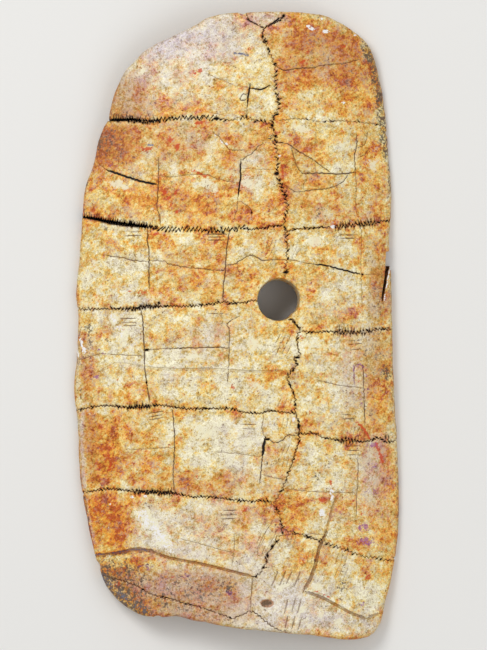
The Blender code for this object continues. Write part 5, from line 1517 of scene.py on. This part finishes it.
# Coats over the bone's levels, from first to last. A coat's amount is its base and parts added up, scaled
# by the value that it is on, with plus added, cut to its band and scaled down where off is high. Parts
# are noises and values of the mesh.
tints = {
    "rose": {"tone": "rose", "share": 0.9, "base": 0.75, "parts": {"shade": 0.1, "fine": 0.1},
             "on": "rose", "plus": {"speck": 0.03}},
    "lilac": {"tone": "lilac", "base": 0.02,
              "parts": {"lilac": 0.6, "cool": 0.07, "speck": 0.08, "warm": -0.06}},
}
stainsAndEdgeShade = {
    "smudges": {"tone": "dusk", "share": 0.55, "parts": {"speck": 0.5, "cool": 0.3, "shade": 0.3},
                "band": (0.3, 1.4)},
    "flecks": {"tone": "cream", "share": 0.3, "parts": {"shade": 0.8, "hue": -0.3, "fibre": 0.4},
               "band": (0.3, 1.3), "off": "warm"},
    "islands": {"tone": "cream", "share": 0.8, "parts": {"cream": 1, "shade": 0.1, "fibre": 0.1},
                "band": (0.38, 0.7)},
    "rust": {"tone": "rust", "share": 0.85, "parts": {"rust": 1, "fine": 0.16, "fibre": 0.16},
             "band": (0.42, 0.8)},
    "plum": {"tone": "plum", "share": 0.75, "base": 1, "parts": {"fine": 0.5, "speck": 0.4}, "on": "plum",
             "band": (0.3, 0.95)},
    "pitSide": {"tone": "rose", "share": 0.8, "parts": {"pit": 1}, "band": (0.02, 0.3)},
    "pitFloor": {"tone": "olive", "share": 0.75, "parts": {"pit": 1, "fine": 0.25}, "band": (0.35, 0.9)},
    "grey": {"tone": "grey", "share": 0.9, "base": 1, "parts": {"fine": 0.7, "speck": 0.5, "shade": 0.3},
             "on": "grey", "band": (0.25, 1.3)},
    "pores": {"tone": "umber", "share": 0.55, "band": (0.56, 0.9),
              "parts": {"fine": 0.28, "cool": 0.16, "warm": 0.17, "grain": 0.12}},
    "fringe": {"tone": "umber", "share": 0.5, "parts": {"fringe": 1, "fine": 0.14}, "band": (0.45, 1.1)},
    "stain": {"tone": "russet", "share": 0.6, "base": 0.8, "parts": {"fine": 0.3, "hue": 0.2},
              "on": "stain", "band": (0.45, 1.0)},
    # rim: umber on the rounded edge and on all walls, partly staining and partly painted shade where the
    # edge turns from the light
    "rim": {"tone": "umber", "share": 0.45, "parts": {"edge": 0.7, "fine": 0.12, "shade": 0.1},
            "band": (0.3, 1.0)},
}
topCoats = {
    "slate": {"tone": "slate", "base": 1, "parts": {"fine": 0.4, "shade": 0.3}, "on": "slate",
              "band": (0.2, 0.9)},
    # white specks and residue, and painted highlights on the chipped step near (220, 140)
    "chips": {"tone": "white", "base": 1, "parts": {"fine": 0.45, "speck": 0.35, "hue": 0.2},
              "on": "white", "band": (0.4, 0.8)},
    "charred": {"tone": "soot", "share": 0.75, "parts": {"char": 1, "fine": 0.16}, "band": (0.5, 1.0)},
}


def boneFinish():
    finish = Finish("agedShellBone")
    node, mix, vector = finish.node, finish.mix, finish.vector
    spot = finish.out(node("ShaderNodeTexCoord"), "Object")
    turned = node("ShaderNodeVectorRotate", {"rotation_type": "Z_AXIS"},
                  {"Vector": spot, "Angle": bone["grainTurn"]})
    along = vector("MULTIPLY", finish.out(turned), bone["grainStretch"])
    known = {}  # noises and values of the mesh
    laid = {}   # how much of each coat there is, before its share
    for name, (scale, detail, shift, roughness, strength) in noises.items():
        moved = vector("ADD", along if name == "fibre" else spot, (shift, -shift, shift))
        made = node("ShaderNodeTexNoise", (), {
            "Vector": moved, "Scale": scale, "Detail": detail, "Roughness": roughness,
            "Lacunarity": bone["lacunarity"],
        })
        known[name] = (finish.out(made) - 0.5) * strength

    def part(name):
        if name not in known:
            known[name] = finish.attribute(name)
        return known[name]

    def blend(shares, base=0):
        terms = [part(name) if share == 1 else part(name) * share for name, share in shares.items()]
        total = sum(terms[1:], terms[0])
        return base + total if base else total

    def lay(colour, coats):
        for name, coat in coats.items():
            amount = blend(coat["parts"], coat.get("base", 0))
            if "on" in coat:
                amount = part(coat["on"]) * amount
            if "plus" in coat:
                amount = amount + blend(coat["plus"])
            if "band" in coat:
                amount = amount.band(*coat["band"])
            if "off" in coat:
                amount = amount * (1 - part(coat["off"]))
            laid[name] = amount
            if "share" in coat:
                amount = amount * coat["share"]
            colour = mix(amount, colour, bone[coat["tone"]])
        return colour

    level = blend(bone["levelShift"], bone["level"])
    level = level + part("hue") * (bone["hueSwing"] - part("warm") * bone["hueCalm"])
    colour = finish.ramp(level, bone["levels"])
    colour = lay(colour, tints)
    swing = blend(bone["swing"])
    light = node("ShaderNodeCombineXYZ")
    for channel, (mean, reach) in enumerate(bone["light"]):
        finish.tree.links.new((mean + swing * reach).socket, light.inputs[channel])
    colour = vector("MULTIPLY", colour, finish.out(light))
    colour = lay(colour, stainsAndEdgeShade)
    plainLevel = blend(bone["plainShift"], bone["plainLevel"])
    plain = finish.ramp(plainLevel, bone["plainLevels"])
    colour = mix((1 - part("outer")) * bone["plainShare"], colour, plain)
    colour = lay(colour, topCoats)
    # Grooves, gapes and gap walls painted brown to black: dirt in them and painted shade in their depth
    dirt = part("dirt")
    (thinLow, thinHigh, thinShare), (thickLow, thickHigh, thickShare) = bone["sootBands"]
    thin = (dirt + part("grain") * bone["sootGrain"]).band(thinLow, thinHigh) * thinShare
    soot = thin + dirt.band(thickLow, thickHigh) * thickShare
    colour = mix(soot, colour, mix(dirt.band(*bone["sootTone"]), bone["scratch"], bone["soot"]))

    height = blend(bone["bumps"]) - laid["pores"] * bone["poreDepth"]
    values = {"Height": height, "Distance": bone["bumpHeight"], "Strength": bone["bumpStrength"]}
    bump = finish.out(node("ShaderNodeBump", (), values))
    roughness = bone["roughness"] + part("fine") * bone["roughSwing"] + soot * bone["sootRough"]
    for name, value in (("Base Color", colour), ("Roughness", roughness), ("Normal", bump)):
        finish.tree.links.new(value.socket, finish.shader.inputs[name])
    finish.shader.inputs["Specular IOR Level"].default_value = bone["specular"]
    return finish.material


def shellPlate():
    corners, faces, values = plateMesh()
    mesh = bpy.data.meshes.new("shellPlateSurface")
    mesh.from_pydata(corners.tolist(), [], faces.tolist())
    mesh.update()
    lift = values["outer"] * (1 - values["edge"])
    for name, numbers in list(values.items()) + [("lift", lift)]:
        layer = mesh.attributes.new(name, "FLOAT", "POINT")
        layer.data.foreach_set("value", numbers.astype(np.float32))
    mesh.shade_smooth()
    piece = bpy.data.objects.new("shellPlateSurface", mesh)
    bpy.context.scene.collection.objects.link(piece)
    material = boneFinish()
    mesh.materials.append(material)
    weather(piece, material)
    return piece


# Studio: floor, lights and the camera straight above

studio = {
    "floorSize": 3.0, "floorTone": tone(236, 235, 232),
    "cameraHeight": 4.0, "pictureSize": (487, 650), "sensor": 36.0, "rimHeight": 0.005,
    "keyPower": 6.7, "keySize": 0.5, "keyPlace": (-0.55, 0.60, 0.95),
    "fillPower": 4.1, "fillSize": 1.0, "fillPlace": (0.8, -0.3, 1.1),
    "skyStrength": 0.5, "floorRoughness": 0.8, "farthest": 10.0,
}


def areaLight(name, spot, power, size):
    data = bpy.data.lights.new(name, "AREA")
    data.energy = power
    data.size = size
    lamp = bpy.data.objects.new(name, data)
    lamp.location = spot
    lamp.rotation_euler = (-Vector(spot)).to_track_quat("-Z", "Y").to_euler()
    bpy.context.scene.collection.objects.link(lamp)


def buildStudio():
    half = studio["floorSize"] / 2
    mesh = bpy.data.meshes.new("studioFloor")
    corners = [(-half, -half, 0), (half, -half, 0), (half, half, 0), (-half, half, 0)]
    mesh.from_pydata(corners, [], [(0, 1, 2, 3)])
    floor = bpy.data.objects.new("studioFloor", mesh)
    bpy.context.scene.collection.objects.link(floor)
    finish = Finish("paleFloor")
    finish.shader.inputs["Base Color"].default_value = studio["floorTone"]
    finish.shader.inputs["Roughness"].default_value = studio["floorRoughness"]
    mesh.materials.append(finish.material)
    areaLight("keyLight", studio["keyPlace"], studio["keyPower"], studio["keySize"])
    areaLight("fillLight", studio["fillPlace"], studio["fillPower"], studio["fillSize"])
    world = bpy.data.worlds.new("studioSky")
    world.use_nodes = True
    world.node_tree.nodes["Background"].inputs["Color"].default_value = (1.0, 1.0, 1.0, 1.0)
    world.node_tree.nodes["Background"].inputs["Strength"].default_value = studio["skyStrength"]
    bpy.context.scene.world = world
    bpy.context.scene.view_settings.view_transform = "Standard"


def buildCamera():
    wide, tall = studio["pictureSize"]
    data = bpy.data.cameras.new("camera")
    data.sensor_width = studio["sensor"]
    middle = place([(wide / 2, tall / 2)])[0]
    data.lens = studio["sensor"] * (studio["cameraHeight"] - studio["rimHeight"]) / (tall * pixel)
    data.clip_end = studio["farthest"]
    camera = bpy.data.objects.new("camera", data)
    camera.location = (*middle, studio["cameraHeight"])
    bpy.context.scene.collection.objects.link(camera)
    bpy.context.scene.camera = camera


surface = shellPlate()
print("plate made")
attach(surface, "root")
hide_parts("shell_plate")
buildStudio()
buildCamera()
print("studio and camera set")
